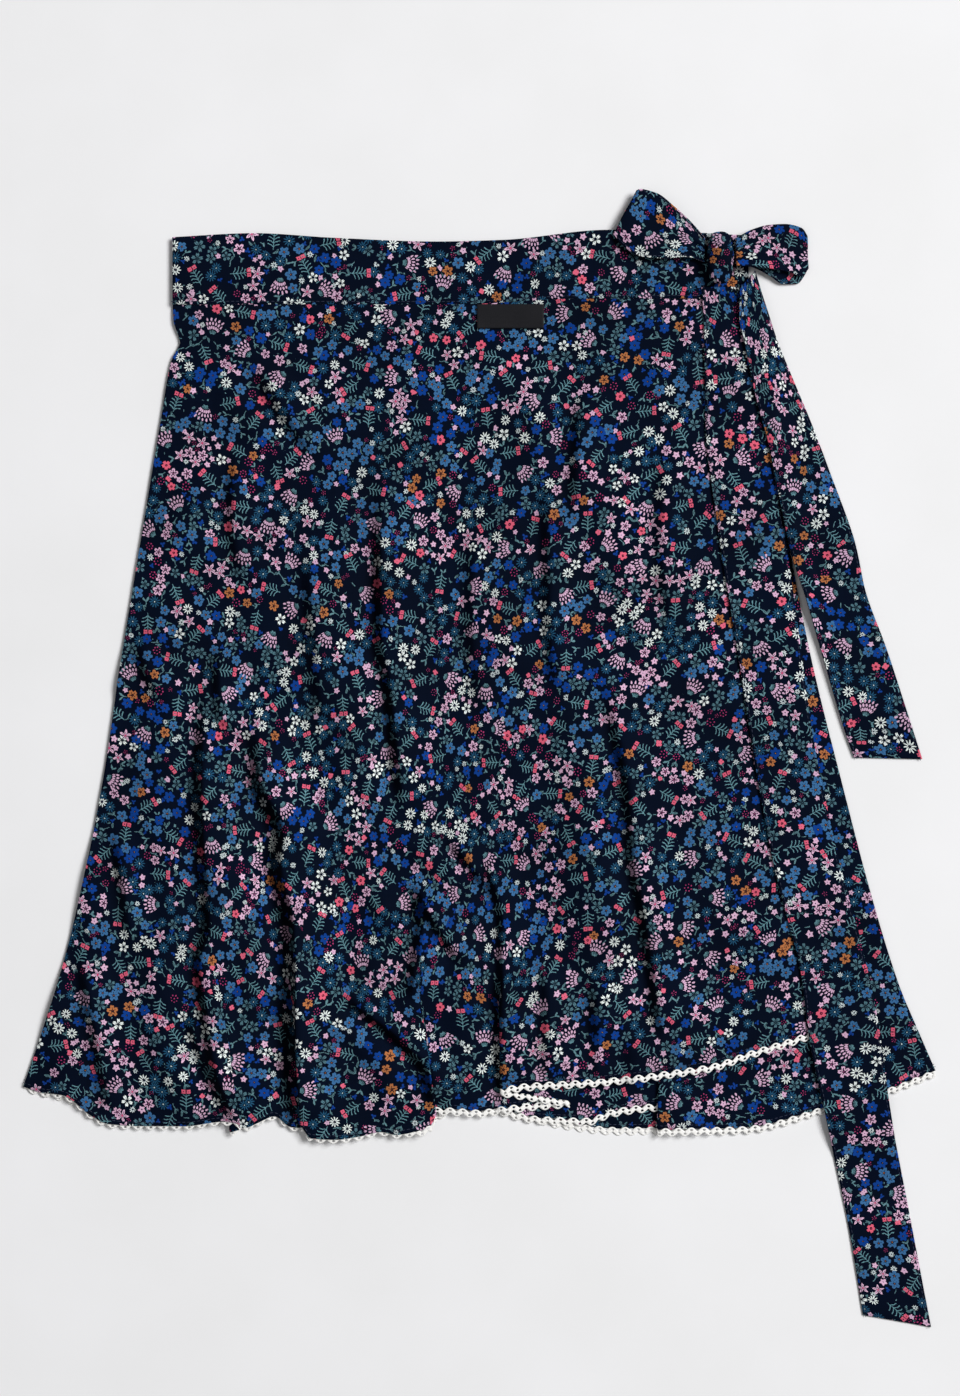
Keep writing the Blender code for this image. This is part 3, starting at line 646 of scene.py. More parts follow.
def new_piece(name, points, faces, material, places=None):
    """A smooth mesh object from points in millimetres, with the point's place on its cloth as a UV map."""
    mesh = bpy.data.meshes.new(name)
    mesh.from_pydata((np.asarray(points, float) * MM).tolist(), [], faces)
    mesh.materials.append(material)
    if places is not None:
        corners = np.empty(len(mesh.loops), np.int32)
        mesh.loops.foreach_get("vertex_index", corners)
        layer = mesh.uv_layers.new(name="cloth")
        layer.data.foreach_set("uv", (np.asarray(places)[corners] * MM).astype(np.float32).ravel())
    mesh.shade_smooth()
    return new_object(name, mesh)


def mark_painted_fold_shade(piece):
    """Keeps each point's painted shade in a fold's hollow, which the cloth's material reads."""
    points = np.empty(3 * len(piece.data.vertices), np.float32)
    piece.data.vertices.foreach_get("co", points)
    x, y = points.reshape(-1, 3)[:, :2].T / MM
    # The hollow attribute holds the painted shade of the folds.
    layer = piece.data.attributes.new("hollow", "FLOAT", "POINT")
    layer.data.foreach_set("value", painted_shade_in_folds(x, y).astype(np.float32))


def shell(name, sheet, thickness, material, under_shift=(0.0, 0.0)):
    """A closed shell on both sides of a sheet. Its edge is rounded."""
    sheet = bordered(sheet, thickness * TURN_SHARE)
    rows, columns = sheet.shape[:2]
    normal = normals_of(sheet[..., :3])
    half = np.full((rows, columns, 1), thickness / 2)
    for border in (half[0], half[-1], half[:, 0], half[:, -1]):
        border[:] = thickness * RIM_SHARE
    upper = (sheet[..., :3] + normal * half).reshape(-1, 3)
    lower = (sheet[..., :3] - normal * half).reshape(-1, 3)
    places = sheet[..., 3:].reshape(-1, 2)
    number = np.arange(rows * columns).reshape(rows, columns)
    under = rows * columns
    a, b = number[:-1, :-1].ravel(), number[:-1, 1:].ravel()
    d, c = number[1:, :-1].ravel(), number[1:, 1:].ravel()
    top = np.stack([a, d, c, b], axis=1)
    low = np.stack([a, b, c, d], axis=1) + under
    around = np.concatenate([number[0, :-1], number[:-1, -1], number[-1, :0:-1], number[:0:-1, 0]])
    after = np.roll(around, -1)
    rim = np.stack([around, after, after + under, around + under], axis=1)
    faces = np.concatenate([top, low, rim]).tolist()
    both = np.concatenate([places, places + np.array(under_shift)])
    return new_piece(name, np.concatenate([upper, lower]), faces, material, both)


def band_sheet(x_left, x_right, level, steps, shift, rise):
    """A stretch of waistband between its top edge and the seam."""
    x = np.linspace(x_left, x_right, steps + 1)
    rows = []
    for share in np.linspace(0.0, 1.0, BAND_ROWS):
        y = height_of(WAIST_TOP, x) * (1 - share) + height_of(WAIST_SEAM, x) * share
        z = level + rise(x, y, share)
        rows.append(np.stack([x, y, z, x + shift[0], y + shift[1]], axis=1))
    return np.array(rows)


def band_rise(x, y, share):
    """The showing waistband is a doubled strip: full along its top fold, drawn down by the stitches."""
    drawn = STITCH_PULL * math.exp(-(((share - STITCHED_AT) / STITCH_PULL_RUN) ** 2))
    ends = smooth((x - BAND_LEFT) / BAND_LEFT_RUN) * smooth((BAND_OVER_RIGHT - x) / BAND_RIGHT_RUN)
    rippled = BAND_RIPPLE * ripple(x * 1.1, y * 1.6) * math.sin(math.pi * share)
    return (rippled + pulled(x, y)) * ends - drawn


def strip(stations, steps, across):
    """Points between the two edges of a strip, in even steps along its stations and across it."""
    place = np.arange(len(stations))
    at = np.linspace(0, len(stations) - 1, steps + 1)
    edges = np.stack([through(place, values, at) for values in zip(*stations)], axis=1)
    first, second = np.split(edges[:, None, :], 2, axis=2)
    share = np.linspace(0, 1, across + 1)[None, :, None]
    return first * (1 - share) + second * share


def with_places(points, width, shift):
    """Adds each point's place on the cloth: across by its share of the width, down by the way along."""
    middle = points.mean(axis=1)
    along = np.concatenate([[0.0], np.cumsum(np.linalg.norm(np.diff(middle, axis=0), axis=1))])
    share = np.linspace(0, 1, points.shape[1])
    u, v = np.meshgrid(share * width + shift[0], shift[1] - along)
    return np.concatenate([points, u[..., None], v[..., None]], axis=2)


def tie_sheet(stations, steps, across, height, width, shift):
    """The sheet of a tie's free end, at its height over what it lies on."""
    flat = strip(stations, steps, across)
    z = height(flat[..., 0], flat[..., 1])
    return with_places(np.concatenate([flat, z[..., None]], axis=2), width, shift)


def skirt_top(x, y):
    """Height of the top of the skirt at a place, falling to the table past its right side and hem."""
    on_band = smooth((y - BAND_STEP_LOW) / (BAND_STEP_HIGH - BAND_STEP_LOW))
    top = OVER_TOP + (BAND_TOP - OVER_TOP) * on_band + packed_rise(x, y)
    past_side = x - edge_of(RIGHT_SIDE, y) - SIDE_CLEAR
    past_hem = height_of(UNDER_HEM[1], x) - LACE_WIDTH - HEM_CLEAR - y
    return top * (1 - smooth(past_side / SIDE_RUN)) * (1 - smooth(past_hem / HEM_RUN))


def tie_ripple(x, y):
    """Low waves along a tie, which is stiffer than the single cloth under it."""
    return TIE_RIPPLE * ripple(x * 1.3 + 40.0, y * 1.1 + 90.0)


def long_tail_height(x, y):
    """The long tail lies on the skirt and runs off its hem to the table."""
    top = skirt_top(x, y)
    return top + np.minimum(top, TIE_GAP) + CAD_TIE / 2 + tie_ripple(x, y)


def short_tail_height(x, y):
    """The short tail laps over the long one and drops to the table beside it."""
    edge = edge_of([Point(station.right_x, station.right_y) for station in LONG_TAIL], y)
    beside = np.maximum(x - edge - TAIL_CLEAR, 0.0)
    lapped = (BAND_TOP + CAD_TIE + 2 * TIE_GAP) * (1 - smooth(beside / TAIL_RUN))
    by_knot = smooth((y - KNOT_RISE_LOW) / (KNOT_RISE_TOP - KNOT_RISE_LOW))
    rise = KNOT_RISE * by_knot * (1 - smooth(beside / KNOT_RISE_WIDTH))
    return np.maximum(lapped, skirt_top(x, y)) + rise + CAD_TIE / 2 + TAIL_LIFT + tie_ripple(x, y)


def loop_sheet(turns, steps, across, width, shift):
    """A bow loop, with folds that deepen towards the knot at both of its ends."""
    points = strip(turns, steps, across)
    share = np.linspace(0, 1, across + 1)[None, :]
    along = np.linspace(0, 1, steps + 1)[:, None]
    near = np.maximum(smooth(1 - along / LOOP_NEAR), smooth((along - (1 - LOOP_NEAR)) / LOOP_NEAR))
    fold = near * LOOP_FOLD * (np.cos(2 * math.pi * LOOP_FOLDS * share + LOOP_FOLD_START) - 1) / 2
    soft = LOOP_WAVE * np.sin(9.0 * along + 5.0 * share) * np.sin(math.pi * share)
    return with_places(points + normals_of(points) * (fold + soft)[..., None], width, shift)


def knot_piece(material):
    """The knot: the tie wrapped round itself, as a soft pillow with folds that run across it."""
    polar = math.pi * np.arange(1, KNOT_ROWS) / KNOT_ROWS
    turn = 2 * math.pi * np.arange(KNOT_COLUMNS) / KNOT_COLUMNS
    polar, turn = np.meshgrid(polar, turn, indexing="ij")
    # The pole lies along the skirt, so that the folds run round the knot and not to its top.
    unit = np.stack([np.sin(polar) * np.cos(turn), np.cos(polar), -np.sin(polar) * np.sin(turn)], axis=2)
    squared = np.sign(unit) * np.abs(unit) ** KNOT_SQUARENESS
    lean = 0.9 * unit[..., 0] + 0.5 * np.sin(2.0 * turn)
    wrap = (1 + np.cos(2 * math.pi * KNOT_WRAPS * (unit[..., 1] * 0.5 + KNOT_LEAN * lean))) / 2
    shrink = 1 - KNOT_FOLD * wrap * np.sin(polar) / KNOT_HALF[2]
    half = np.array(KNOT_HALF) - GAP
    points = np.array(KNOT_MIDDLE) + squared * half * shrink[..., None]
    rows, columns = polar.shape
    number = np.arange(rows * columns).reshape(rows, columns)
    a, b = number[:-1], np.roll(number[:-1], -1, axis=1)
    d, c = number[1:], np.roll(number[1:], -1, axis=1)
    faces = np.stack([a.ravel(), b.ravel(), c.ravel(), d.ravel()], axis=1).tolist()
    # A fan of triangles closes each end round its tip.
    tip = rows * columns
    for place in range(columns):
        after = (place + 1) % columns
        faces.append([after, place, tip])
        faces.append([tip - columns + place, tip - columns + after, tip + 1])
    tips = [points[0].mean(axis=0), points[-1].mean(axis=0)]
    across = squared[..., 0] * (KNOT_HALF[0] + KNOT_ROUND[0] * (1 - np.abs(unit[..., 2])))
    down = squared[..., 1] * (KNOT_HALF[1] + KNOT_ROUND[1])
    places = (np.stack([across, down], axis=2) + KNOT_PLACE).reshape(-1, 2)
    places = np.concatenate([places, np.array([KNOT_TIP, -KNOT_TIP]) + KNOT_PLACE])
    return new_piece("tie_knot_cloth", np.concatenate([points.reshape(-1, 3), tips]), faces, material, places)


def label_sheet():
    """The label: a flat ribbon held in the seam, its lower corners lifting slightly."""
    x = LABEL_MIDDLE + LABEL_WIDTH * np.linspace(-0.5, 0.5, 45)
    top = float(height_of(WAIST_SEAM, LABEL_MIDDLE - LABEL_WIDTH / 2)) - GAP
    rows = []
    for share in np.linspace(0.0, 1.0, 17):
        y = np.full_like(x, top - LABEL_DROP * share)
        base = packed_rise(x, y) + LABEL_RIPPLE * ripple(x, y) + LABEL_LIFT
        curl = LABEL_CURL * share**2 * (np.abs(x - LABEL_MIDDLE) / (LABEL_WIDTH / 2)) ** 4
        z = OVER_TOP + GAP + LABEL_HALF + base + curl
        rows.append(np.stack([x, y, z, x, y], axis=1))
    return np.array(rows)


# Each flower of the print, in millimetres: how much of the cloth it takes, how many petals, how far
# out a petal's middle is, its half length and half width, how round its outline is, the notch in
# its tip, its vein, its centre and the dark ring round that.
FLOWERS = [
    Flower("pink orchid", 0.10, 5, 2.3, 2.1, 0.86, 1.45, 0.0, 0.19, 0.85, 0.0, "#dcb4ce", "#c23a6c"),
    Flower("pink star", 0.06, 5, 1.1, 1.4, 0.85, 1.25, 0.0, 0.0, 0.45, 0.0, "#d8b0cb", "#1a1530"),
    Flower("pink round", 0.075, 5, 2.2, 1.55, 1.05, 2.2, 0.55, 0.3, 0.42, 0.9, "#d4aac6", "#9c4a7c"),
    Flower("coral poppy", 0.02, 5, 1.8, 1.5, 1.15, 2.6, 0.35, 0.0, 0.45, 0.9, "#da5e76", "#c8465e"),
    Flower("magenta dots", 0.05, 7, 2.2, 0.42, 0.42, 2.0, 0.0, 0.0, 0.45, 0.0, "#a83a6c", "#a83a6c"),
    Flower("orange", 0.035, 5, 2.1, 1.7, 1.15, 2.4, 0.5, 0.22, 0.4, 0.85, "#ad6c42", "#7a3c20"),
    Flower("royal blue", 0.09, 6, 2.0, 1.9, 1.15, 1.6, 0.3, 0.0, 0.3, 0.72, "#0f3c88", "#b87a44"),
    Flower("slate blue", 0.17, 5, 2.2, 1.8, 1.3, 1.9, 0.4, 0.12, 0.45, 0.85, "#3a6896", "#b86a34"),
    Flower("grey heart", 0.13, 5, 2.6, 1.35, 0.95, 2.0, 0.9, 0.16, 0.3, 0.0, "#507480", "#507480"),
    Flower("blue daisy", 0.14, 11, 2.3, 1.4, 0.36, 2.0, 0.0, 0.0, 0.5, 0.9, "#22506f", "#b9cfd6"),
    Flower("white daisy", 0.07, 10, 2.3, 1.4, 0.38, 2.2, 0.0, 0.0, 0.4, 0.9, "#e6efec", "#30304c"),
    Flower("white heart", 0.06, 5, 2.5, 1.4, 0.9, 2.1, 1.0, 0.15, 0.0, 0.9, "#e8f0ee", "#e3eae7"),
]
# The small blossoms between them.
SMALL = [
    Flower("bare ground", 0.40, 5, 0.0, 0.02, 0.02, 2.0, 0.0, 0.0, 0.0, 0.0, "#040c1d", "#040c1d"),
    Flower("small star", 0.15, 5, 0.9, 1.15, 0.7, 1.25, 0.0, 0.0, 0.34, 0.0, "#d2aac6", "#1a1530"),
    Flower("small coral", 0.02, 4, 1.0, 0.95, 0.9, 3.0, 0.0, 0.0, 0.28, 0.0, "#de6680", "#2a1024"),
    Flower("small daisy", 0.12, 8, 1.2, 0.75, 0.3, 2.0, 0.0, 0.0, 0.3, 0.0, "#cad6d8", "#26304a"),
    Flower("small dots", 0.12, 5, 1.25, 0.32, 0.32, 2.0, 0.0, 0.0, 0.32, 0.0, "#9c3765", "#9c3765"),
    Flower("small bell", 0.19, 3, 1.0, 0.95, 0.7, 1.5, 0.0, 0.0, 0.0, 0.0, "#123a86", "#123a86"),
]
GROUND = "#040c1d"
LEAF = "#5e848c"
PALM = "#64909a"
DROP = "#d0aac6"
CORAL = "#d45c76"

# Numbers that the step tables below name.
STEP_NUMBERS = {
    "full_turn": 2 * math.pi,
    "per_turn": 1 / (2 * math.pi),
    # The leaflets of a palm and the arcs of a spray follow each other this closely, in millimetres.
    "per_leaflet": 1 / 2.35,
    "per_arc": 1 / 2.7,
    # Small blossoms keep this far from the middles of flowers and sprigs, flowers keep this far from
    # the middle of a sprig, and leaves this far.
    "small_room": 4.5,
    "small_sprig_room": 7.5,
    "sprig_room": 9.0,
    "sprig_clear": 6.4,
    # How much a flower's own number adds to its cluster's in the choice of its kind.
    "kind_spread": 0.2,
}
# Each row of a step table is a Math node: its name, its operation and its inputs. These draw a
# flower's petals.
PETAL_STEPS = """
xx MULTIPLY x x
rr MULTIPLY_ADD y y xx
r SQRT rr
angle ARCTAN2 y x
turns MULTIPLY angle per_turn
sector MULTIPLY turns count
nearest ROUND sector
off SUBTRACT sector nearest
off_share DIVIDE off count
off_angle MULTIPLY off_share full_turn
cosine COSINE off_angle
sine SINE off_angle
along MULTIPLY r cosine
aside MULTIPLY r sine
beside ABSOLUTE aside
across DIVIDE beside width
middle MULTIPLY_ADD across -1.8 1
middle_only MAXIMUM middle 0
notched MULTIPLY_ADD middle_only notch along
from_middle SUBTRACT notched reach
lengthwise DIVIDE from_middle length
lengthwise_out ABSOLUTE lengthwise
long_power POWER lengthwise_out sharp
wide_power POWER across sharp
outline ADD long_power wide_power
petal LESS_THAN outline 1
"""
# These place a motif: they turn it and let it grow.
LOCAL_STEPS = """
spin MULTIPLY hash_2 full_turn
spin_cos COSINE spin
spin_sin SINE spin
grown MULTIPLY_ADD hash_3 spread least
dx_grown DIVIDE dx grown
dy_grown DIVIDE dy grown
x_1 MULTIPLY dy_grown spin_sin
x MULTIPLY_ADD dx_grown spin_cos x_1
y_1 MULTIPLY dx_grown spin_sin
y_2 MULTIPLY dy_grown spin_cos
y SUBTRACT y_2 y_1
"""
# These draw a flower's centre, the dark ring round it and the vein of each petal.
CENTRE_STEPS = """
vein_wide LESS_THAN beside vein
vein_far SUBTRACT from_middle 0.55
vein_in LESS_THAN vein_far 0
vein_drawn MULTIPLY vein_wide vein_in
no_vein SUBTRACT 1 vein_drawn
in_petal MULTIPLY petal no_vein
in_ring LESS_THAN r ring
star MULTIPLY_ADD beside 1.3 r
in_core LESS_THAN star core
apart MULTIPLY_ADD beside 0.2 r
reach_out ADD reach length
edge ADD reach_out 0.45
clear LESS_THAN apart edge
"""
# A leaf is a closed outline round a dark middle with a rib, in a fan of one, two or three.
LEAF_STEPS = """
way ABSOLUTE y
fan_count MULTIPLY hash_1 3
one LESS_THAN fan_count 1.1
splay MULTIPLY_ADD one -0.62 0.62
splay_cos COSINE splay
splay_sin SINE splay
a_1 MULTIPLY way splay_sin
along MULTIPLY_ADD x splay_cos a_1
b_1 MULTIPLY x splay_sin
b_2 MULTIPLY way splay_cos
aside SUBTRACT b_2 b_1
beside ABSOLUTE aside
from_middle ADD along -2
long DIVIDE from_middle 2.1
long_2 MULTIPLY long long
taper SUBTRACT 1 long_2
inside MAXIMUM taper 0
half MULTIPLY inside 0.6
leaf LESS_THAN beside half
half_in ADD half -0.26
hollow LESS_THAN beside half_in
rib GREATER_THAN beside 0.1
gap MULTIPLY hollow rib
is_open GREATER_THAN hash_3 0.55
gap_drawn MULTIPLY gap is_open
full SUBTRACT 1 gap_drawn
leaf_drawn MULTIPLY leaf full
curve MULTIPLY x x
bent MULTIPLY_ADD curve -0.05 y
stalk_off ABSOLUTE bent
stalk_thin LESS_THAN stalk_off 0.2
stalk_low GREATER_THAN x -3.6
stalk_high LESS_THAN x 0.2
stalk_1 MULTIPLY stalk_thin stalk_low
stalk MULTIPLY stalk_1 stalk_high
leafy MAXIMUM leaf_drawn stalk
there GREATER_THAN hash_1 0.52
leaves MULTIPLY leafy there
"""
# A palm sprig is a stem with curved leaflets in pairs and two square blossoms at its tip.
PALM_STEPS = """
way ABSOLUTE y
way_2 MULTIPLY way way
lean MULTIPLY_ADD way_2 -0.13 way
swept SUBTRACT x lean
rows MULTIPLY swept per_leaflet
row FRACT rows
in_leaflet LESS_THAN row 0.23
reach_x MULTIPLY_ADD x 0.16 0.1
reach_x2 MULTIPLY reach_x reach_x
reach_y MULTIPLY_ADD reach_x2 -3.6 4.3
short LESS_THAN way reach_y
tip LESS_THAN x 4.8
foot GREATER_THAN x -4.4
body MULTIPLY tip foot
leaflet_1 MULTIPLY in_leaflet short
leaflet MULTIPLY leaflet_1 body
stem_thin LESS_THAN way 0.2
stem_foot GREATER_THAN x -6.2
stem_1 MULTIPLY stem_thin stem_foot
stem MULTIPLY stem_1 tip
palm MAXIMUM leaflet stem
square_x ADD x -6.3
square_y ADD way -1.6
square_x2 ABSOLUTE square_x
square_y2 ABSOLUTE square_y
square_side MAXIMUM square_x2 square_y2
square_in LESS_THAN square_side 1.3
square_eye GREATER_THAN square_side 0.32
square MULTIPLY square_in square_eye
"""
# A drooping sprig is a stem with a pair of leaves and a spray of drops in three arcs.
DROP_STEPS = """
fan_x ADD x 4.2
fan_x2 MULTIPLY fan_x fan_x
fan_r2 MULTIPLY_ADD y y fan_x2
fan_r SQRT fan_r2
fan_angle ARCTAN2 y fan_x
arc MULTIPLY fan_r per_arc
arc_near ROUND arc
arc_off SUBTRACT arc arc_near
arc_turn MULTIPLY_ADD arc_near 0.5 0
ray MULTIPLY_ADD fan_angle 4 arc_turn
ray_near ROUND ray
ray_off SUBTRACT ray ray_near
ray_wide MULTIPLY ray_off fan_r
ray_2 MULTIPLY ray_wide ray_wide
ray_3 MULTIPLY ray_2 0.13
arc_2 MULTIPLY arc_off arc_off
drop_out MULTIPLY_ADD arc_2 4.2 ray_3
drop_in LESS_THAN drop_out 0.72
drop_near GREATER_THAN fan_r 3.9
drop_far LESS_THAN fan_r 12.1
fan_side ABSOLUTE fan_angle
side_room MULTIPLY_ADD fan_r -0.03 0.92
drop_side LESS_THAN fan_side side_room
drop_1 MULTIPLY drop_in drop_near
drop_2 MULTIPLY drop_1 drop_far
drops MULTIPLY drop_2 drop_side
ray_stem ABSOLUTE ray_wide
ray_thin LESS_THAN ray_stem 0.62
ray_from GREATER_THAN fan_r 1.2
ray_to LESS_THAN fan_r 3.6
ray_1 MULTIPLY ray_thin ray_from
ray_in MULTIPLY ray_1 ray_to
rays MULTIPLY ray_in drop_side
"""
# What shows where the motifs meet: the larger flower and the sprig win, and the leaves come last.
MASK_STEPS = """
bloom_on GREATER_THAN flower_to_sprig sprig_room
small_free GREATER_THAN small_to_flower small_room
small_far GREATER_THAN small_to_sprig small_sprig_room
small_on MULTIPLY small_free small_far
clear_bloom MULTIPLY bloom_clear bloom_on
clear_small MULTIPLY small_clear small_on
covered MAXIMUM clear_bloom clear_small
free SUBTRACT 1 covered
off_sprig GREATER_THAN sprig_away sprig_clear
leaf_free MULTIPLY free off_sprig
leaf_mask MULTIPLY leaf_leaves leaf_free
petal_mask MULTIPLY bloom_in_petal bloom_on
ring_mask MULTIPLY bloom_in_ring bloom_on
core_mask MULTIPLY bloom_in_core bloom_on
small_mask MULTIPLY small_in_petal small_on
small_core_mask MULTIPLY small_in_core small_on
is_palm GREATER_THAN sprig_hash_1 0.36
is_drop SUBTRACT 1 is_palm
palm_mask MULTIPLY sprig_palm is_palm
square_mask MULTIPLY sprig_square is_palm
drop_mask MULTIPLY sprig_drops is_drop
ray_mask MULTIPLY sprig_rays is_drop
green_mask MAXIMUM palm_mask ray_mask
"""


def join(tree, value, socket):
    """Gives a socket a value, or what it reads: another socket, or the first output of a node."""
    if isinstance(value, bpy.types.Node):
        value = value.outputs[0]
    if isinstance(value, bpy.types.NodeSocket):
        tree.links.new(value, socket)
    else:
        socket.default_value = value


def add(tree, kind, inputs=(), **settings):
    """Adds one node with its settings. inputs pairs each socket with its value or what it reads."""
    node = tree.nodes.new(kind)
    for name, value in settings.items():
        setattr(node, name, value)
    for socket, value in inputs:
        join(tree, value, node.inputs[socket])
    return node


def follow(tree, known, steps):
    """Adds the nodes of a step table. An input is a number, or the name of one or of what is known."""
    for step in filter(None, steps.splitlines()):
        name, operation, *words = step.split()
        values = [known.get(word, STEP_NUMBERS.get(word, word)) for word in words]
        values = [float(value) if isinstance(value, str) else value for value in values]
        known[name] = add(tree, "ShaderNodeMath", enumerate(values), operation=operation)


# Where each kind of motif is scattered: the size of its cell in millimetres, how far it strays from
# the middle of its cell and the turn of the cells, so that no rows show. Flowers of one kind gather
# in clusters.
FLOWER_CELLS = (8.7, 0.66, 0.45)
SMALL_CELLS = (4.3, 0.8, 1.1)
LEAF_CELLS = (6.0, 0.8, 0.2)
SPRIG_CELLS = (27.0, 0.7, 0.75)
CLUSTER_CELLS = (19.0, 1.0, 0.35)


def scatter(tree, point, cell, stray, turn):
    """The nearest motif's middle, its three random numbers and the way from it, in millimetres."""
    turned = add(tree, "ShaderNodeVectorRotate", [("Vector", point), ("Angle", turn)], rotation_type="Z_AXIS")
    cells = add(
        tree,
        "ShaderNodeTexVoronoi",
        [("Vector", turned), ("Scale", 1 / cell), ("Randomness", stray)],
        voronoi_dimensions="2D",
        feature="F1",
    )
    middle = cells.outputs["Position"]
    way = add(tree, "ShaderNodeVectorMath", [(0, turned), (1, middle)], operation="SUBTRACT")
    back = add(tree, "ShaderNodeVectorRotate", [("Vector", middle), ("Angle", -turn)], rotation_type="Z_AXIS")
    apart = add(tree, "ShaderNodeSeparateXYZ", [(0, way)])
    hashes = add(tree, "ShaderNodeSeparateColor", [(0, cells.outputs["Color"])])
    length = add(tree, "ShaderNodeVectorMath", [(0, way)], operation="LENGTH")
    return {
        "dx": apart.outputs[0],
        "dy": apart.outputs[1],
        "hash_1": hashes.outputs[0],
        "hash_2": hashes.outputs[1],
        "hash_3": hashes.outputs[2],
        "away": length.outputs["Value"],
        "middle_point": back,
    }


# The largest value of each of a flower's measures, three to a ramp.
MOST = [
    {"count": 12.0, "reach": 4.0, "length": 4.0},
    {"width": 2.0, "sharp": 4.0, "notch": 1.0},
    {"vein": 1.0, "core": 2.0, "ring": 2.0},
]


def flowers(tree, known, kinds, place):
    """Draws the flower of this kind. Its measures, as shares of their most, and its colours are ramps
    in which each kind takes its share of the way."""
    tables = []
    for most in MOST:
        tables.append([[getattr(kind, name) / most[name] for name in most] + [1.0] for kind in kinds])
    tables += [[linear(kind.petal) for kind in kinds], [linear(kind.centre) for kind in kinds]]
    ramps = []
    for colours in tables:
        ramps.append(add(tree, "ShaderNodeValToRGB", [(0, place)]))
        ramps[-1].color_ramp.interpolation = "CONSTANT"
        stops = ramps[-1].color_ramp.elements
        start = 0.0
        for index, (kind, colour) in enumerate(zip(kinds, colours)):
            stop = stops[index] if index < 2 else stops.new(start)
            stop.position = start
            stop.color = colour
            start += kind.share
    for most, ramp in zip(MOST, ramps):
        parts = add(tree, "ShaderNodeSeparateXYZ", [(0, ramp)])
        for name, part in zip(most, parts.outputs):
            known[name] = add(tree, "ShaderNodeMath", [(0, part), (1, most[name])], operation="MULTIPLY")
    follow(tree, known, LOCAL_STEPS + PETAL_STEPS + CENTRE_STEPS)
    known.update(petal_colour=ramps[-2], core_colour=ramps[-1])


def printed_colour(tree, point, settings):
    """The floral print at a point of the cloth in millimetres, painted from its ground up."""
    noise = [("Vector", point), ("Scale", 0.85), ("Detail", 1.0)]
    shake = add(tree, "ShaderNodeTexNoise", noise, noise_dimensions="2D").outputs["Color"]
    centred = add(tree, "ShaderNodeVectorMath", [(0, shake), (1, (0.5, 0.5, 0.5))], operation="SUBTRACT")
    shaken = [(0, centred), (1, (0.85, 0.85, 0.0)), (2, point)]
    drawn = add(tree, "ShaderNodeVectorMath", shaken, operation="MULTIPLY_ADD")
    bloom = scatter(tree, drawn, *FLOWER_CELLS)
    small = scatter(tree, drawn, *SMALL_CELLS)
    leaf = scatter(tree, drawn, *LEAF_CELLS)
    sprig = scatter(tree, drawn, *SPRIG_CELLS)
    cluster = scatter(tree, bloom["middle_point"], *CLUSTER_CELLS)
    known = {
        "cluster": cluster["hash_2"],
        "own": bloom["hash_1"],
        "flower_to_sprig": scatter(tree, bloom["middle_point"], *SPRIG_CELLS)["away"],
        "small_to_flower": scatter(tree, small["middle_point"], *FLOWER_CELLS)["away"],
        "small_to_sprig": scatter(tree, small["middle_point"], *SPRIG_CELLS)["away"],
    }
    follow(tree, known, "wide MULTIPLY_ADD own kind_spread cluster\nkind FRACT wide")
    # Each motif is drawn at its least size and up to this much larger.
    bloom.update(least=0.86, spread=0.24)
    small.update(least=0.85, spread=0.35)
    leaf.update(least=0.85, spread=0.4)
    sprig.update(least=1.0, spread=0.0)
    flowers(tree, bloom, FLOWERS, known["kind"])
    flowers(tree, small, SMALL, small["hash_1"])
    follow(tree, leaf, LOCAL_STEPS + LEAF_STEPS)
    follow(tree, sprig, LOCAL_STEPS + PALM_STEPS + DROP_STEPS)
    for motif, found in (("bloom", bloom), ("small", small), ("leaf", leaf), ("sprig", sprig)):
        known.update({f"{motif}_{name}": value for name, value in found.items()})
    follow(tree, known, MASK_STEPS)
    ground = colour = (*settings.ground_colour, 1.0)
    for mask, paint in (
        ("leaf_mask", (*settings.leaf_colour, 1.0)),
        ("small_mask", small["petal_colour"]),
        ("small_core_mask", small["core_colour"]),
        ("petal_mask", bloom["petal_colour"]),
        ("ring_mask", ground),
        ("core_mask", bloom["core_colour"]),
        ("green_mask", (*settings.palm_colour, 1.0)),
        ("square_mask", linear(CORAL)),
        ("drop_mask", linear(DROP)),
    ):
        painted = add(tree, "ShaderNodeMix", [(0, known[mask]), (6, colour), (7, paint)], data_type="RGBA")
        colour = painted.outputs[2]
    return colour


def new_material(name, **values):
    """A material with its shader. The numbers that are the same all over go on the shader's own sockets."""
    material = bpy.data.materials.new(name)
    material.use_nodes = True
    shader = material.node_tree.nodes["Principled BSDF"]
    for socket, value in values.items():
        shader.inputs[socket.replace("_", " ")].default_value = value
    return material, material.node_tree


def surfaced(tree, colour, height, strength, depth, rough=None):
    """Links the shader's colour, its roughness and a bump that stands this deep, in metres."""
    shader = tree.nodes["Principled BSDF"]
    bump = add(tree, "ShaderNodeBump", [("Strength", strength), ("Distance", depth), ("Height", height)])
    join(tree, colour, shader.inputs["Base Color"])
    join(tree, bump, shader.inputs["Normal"])
    if rough is not None:
        join(tree, rough, shader.inputs["Roughness"])


# Viscose yarns lie about 0.3 mm apart, which is too fine to show, so the weave is drawn this coarse.
WEAVE_PITCH = 0.9
WEAVE_DEPTH = 0.00005
SLUB_LENGTH = 14.0
# The cloth's print fades a little in patches of this size.
WORN_PATCH = 45.0
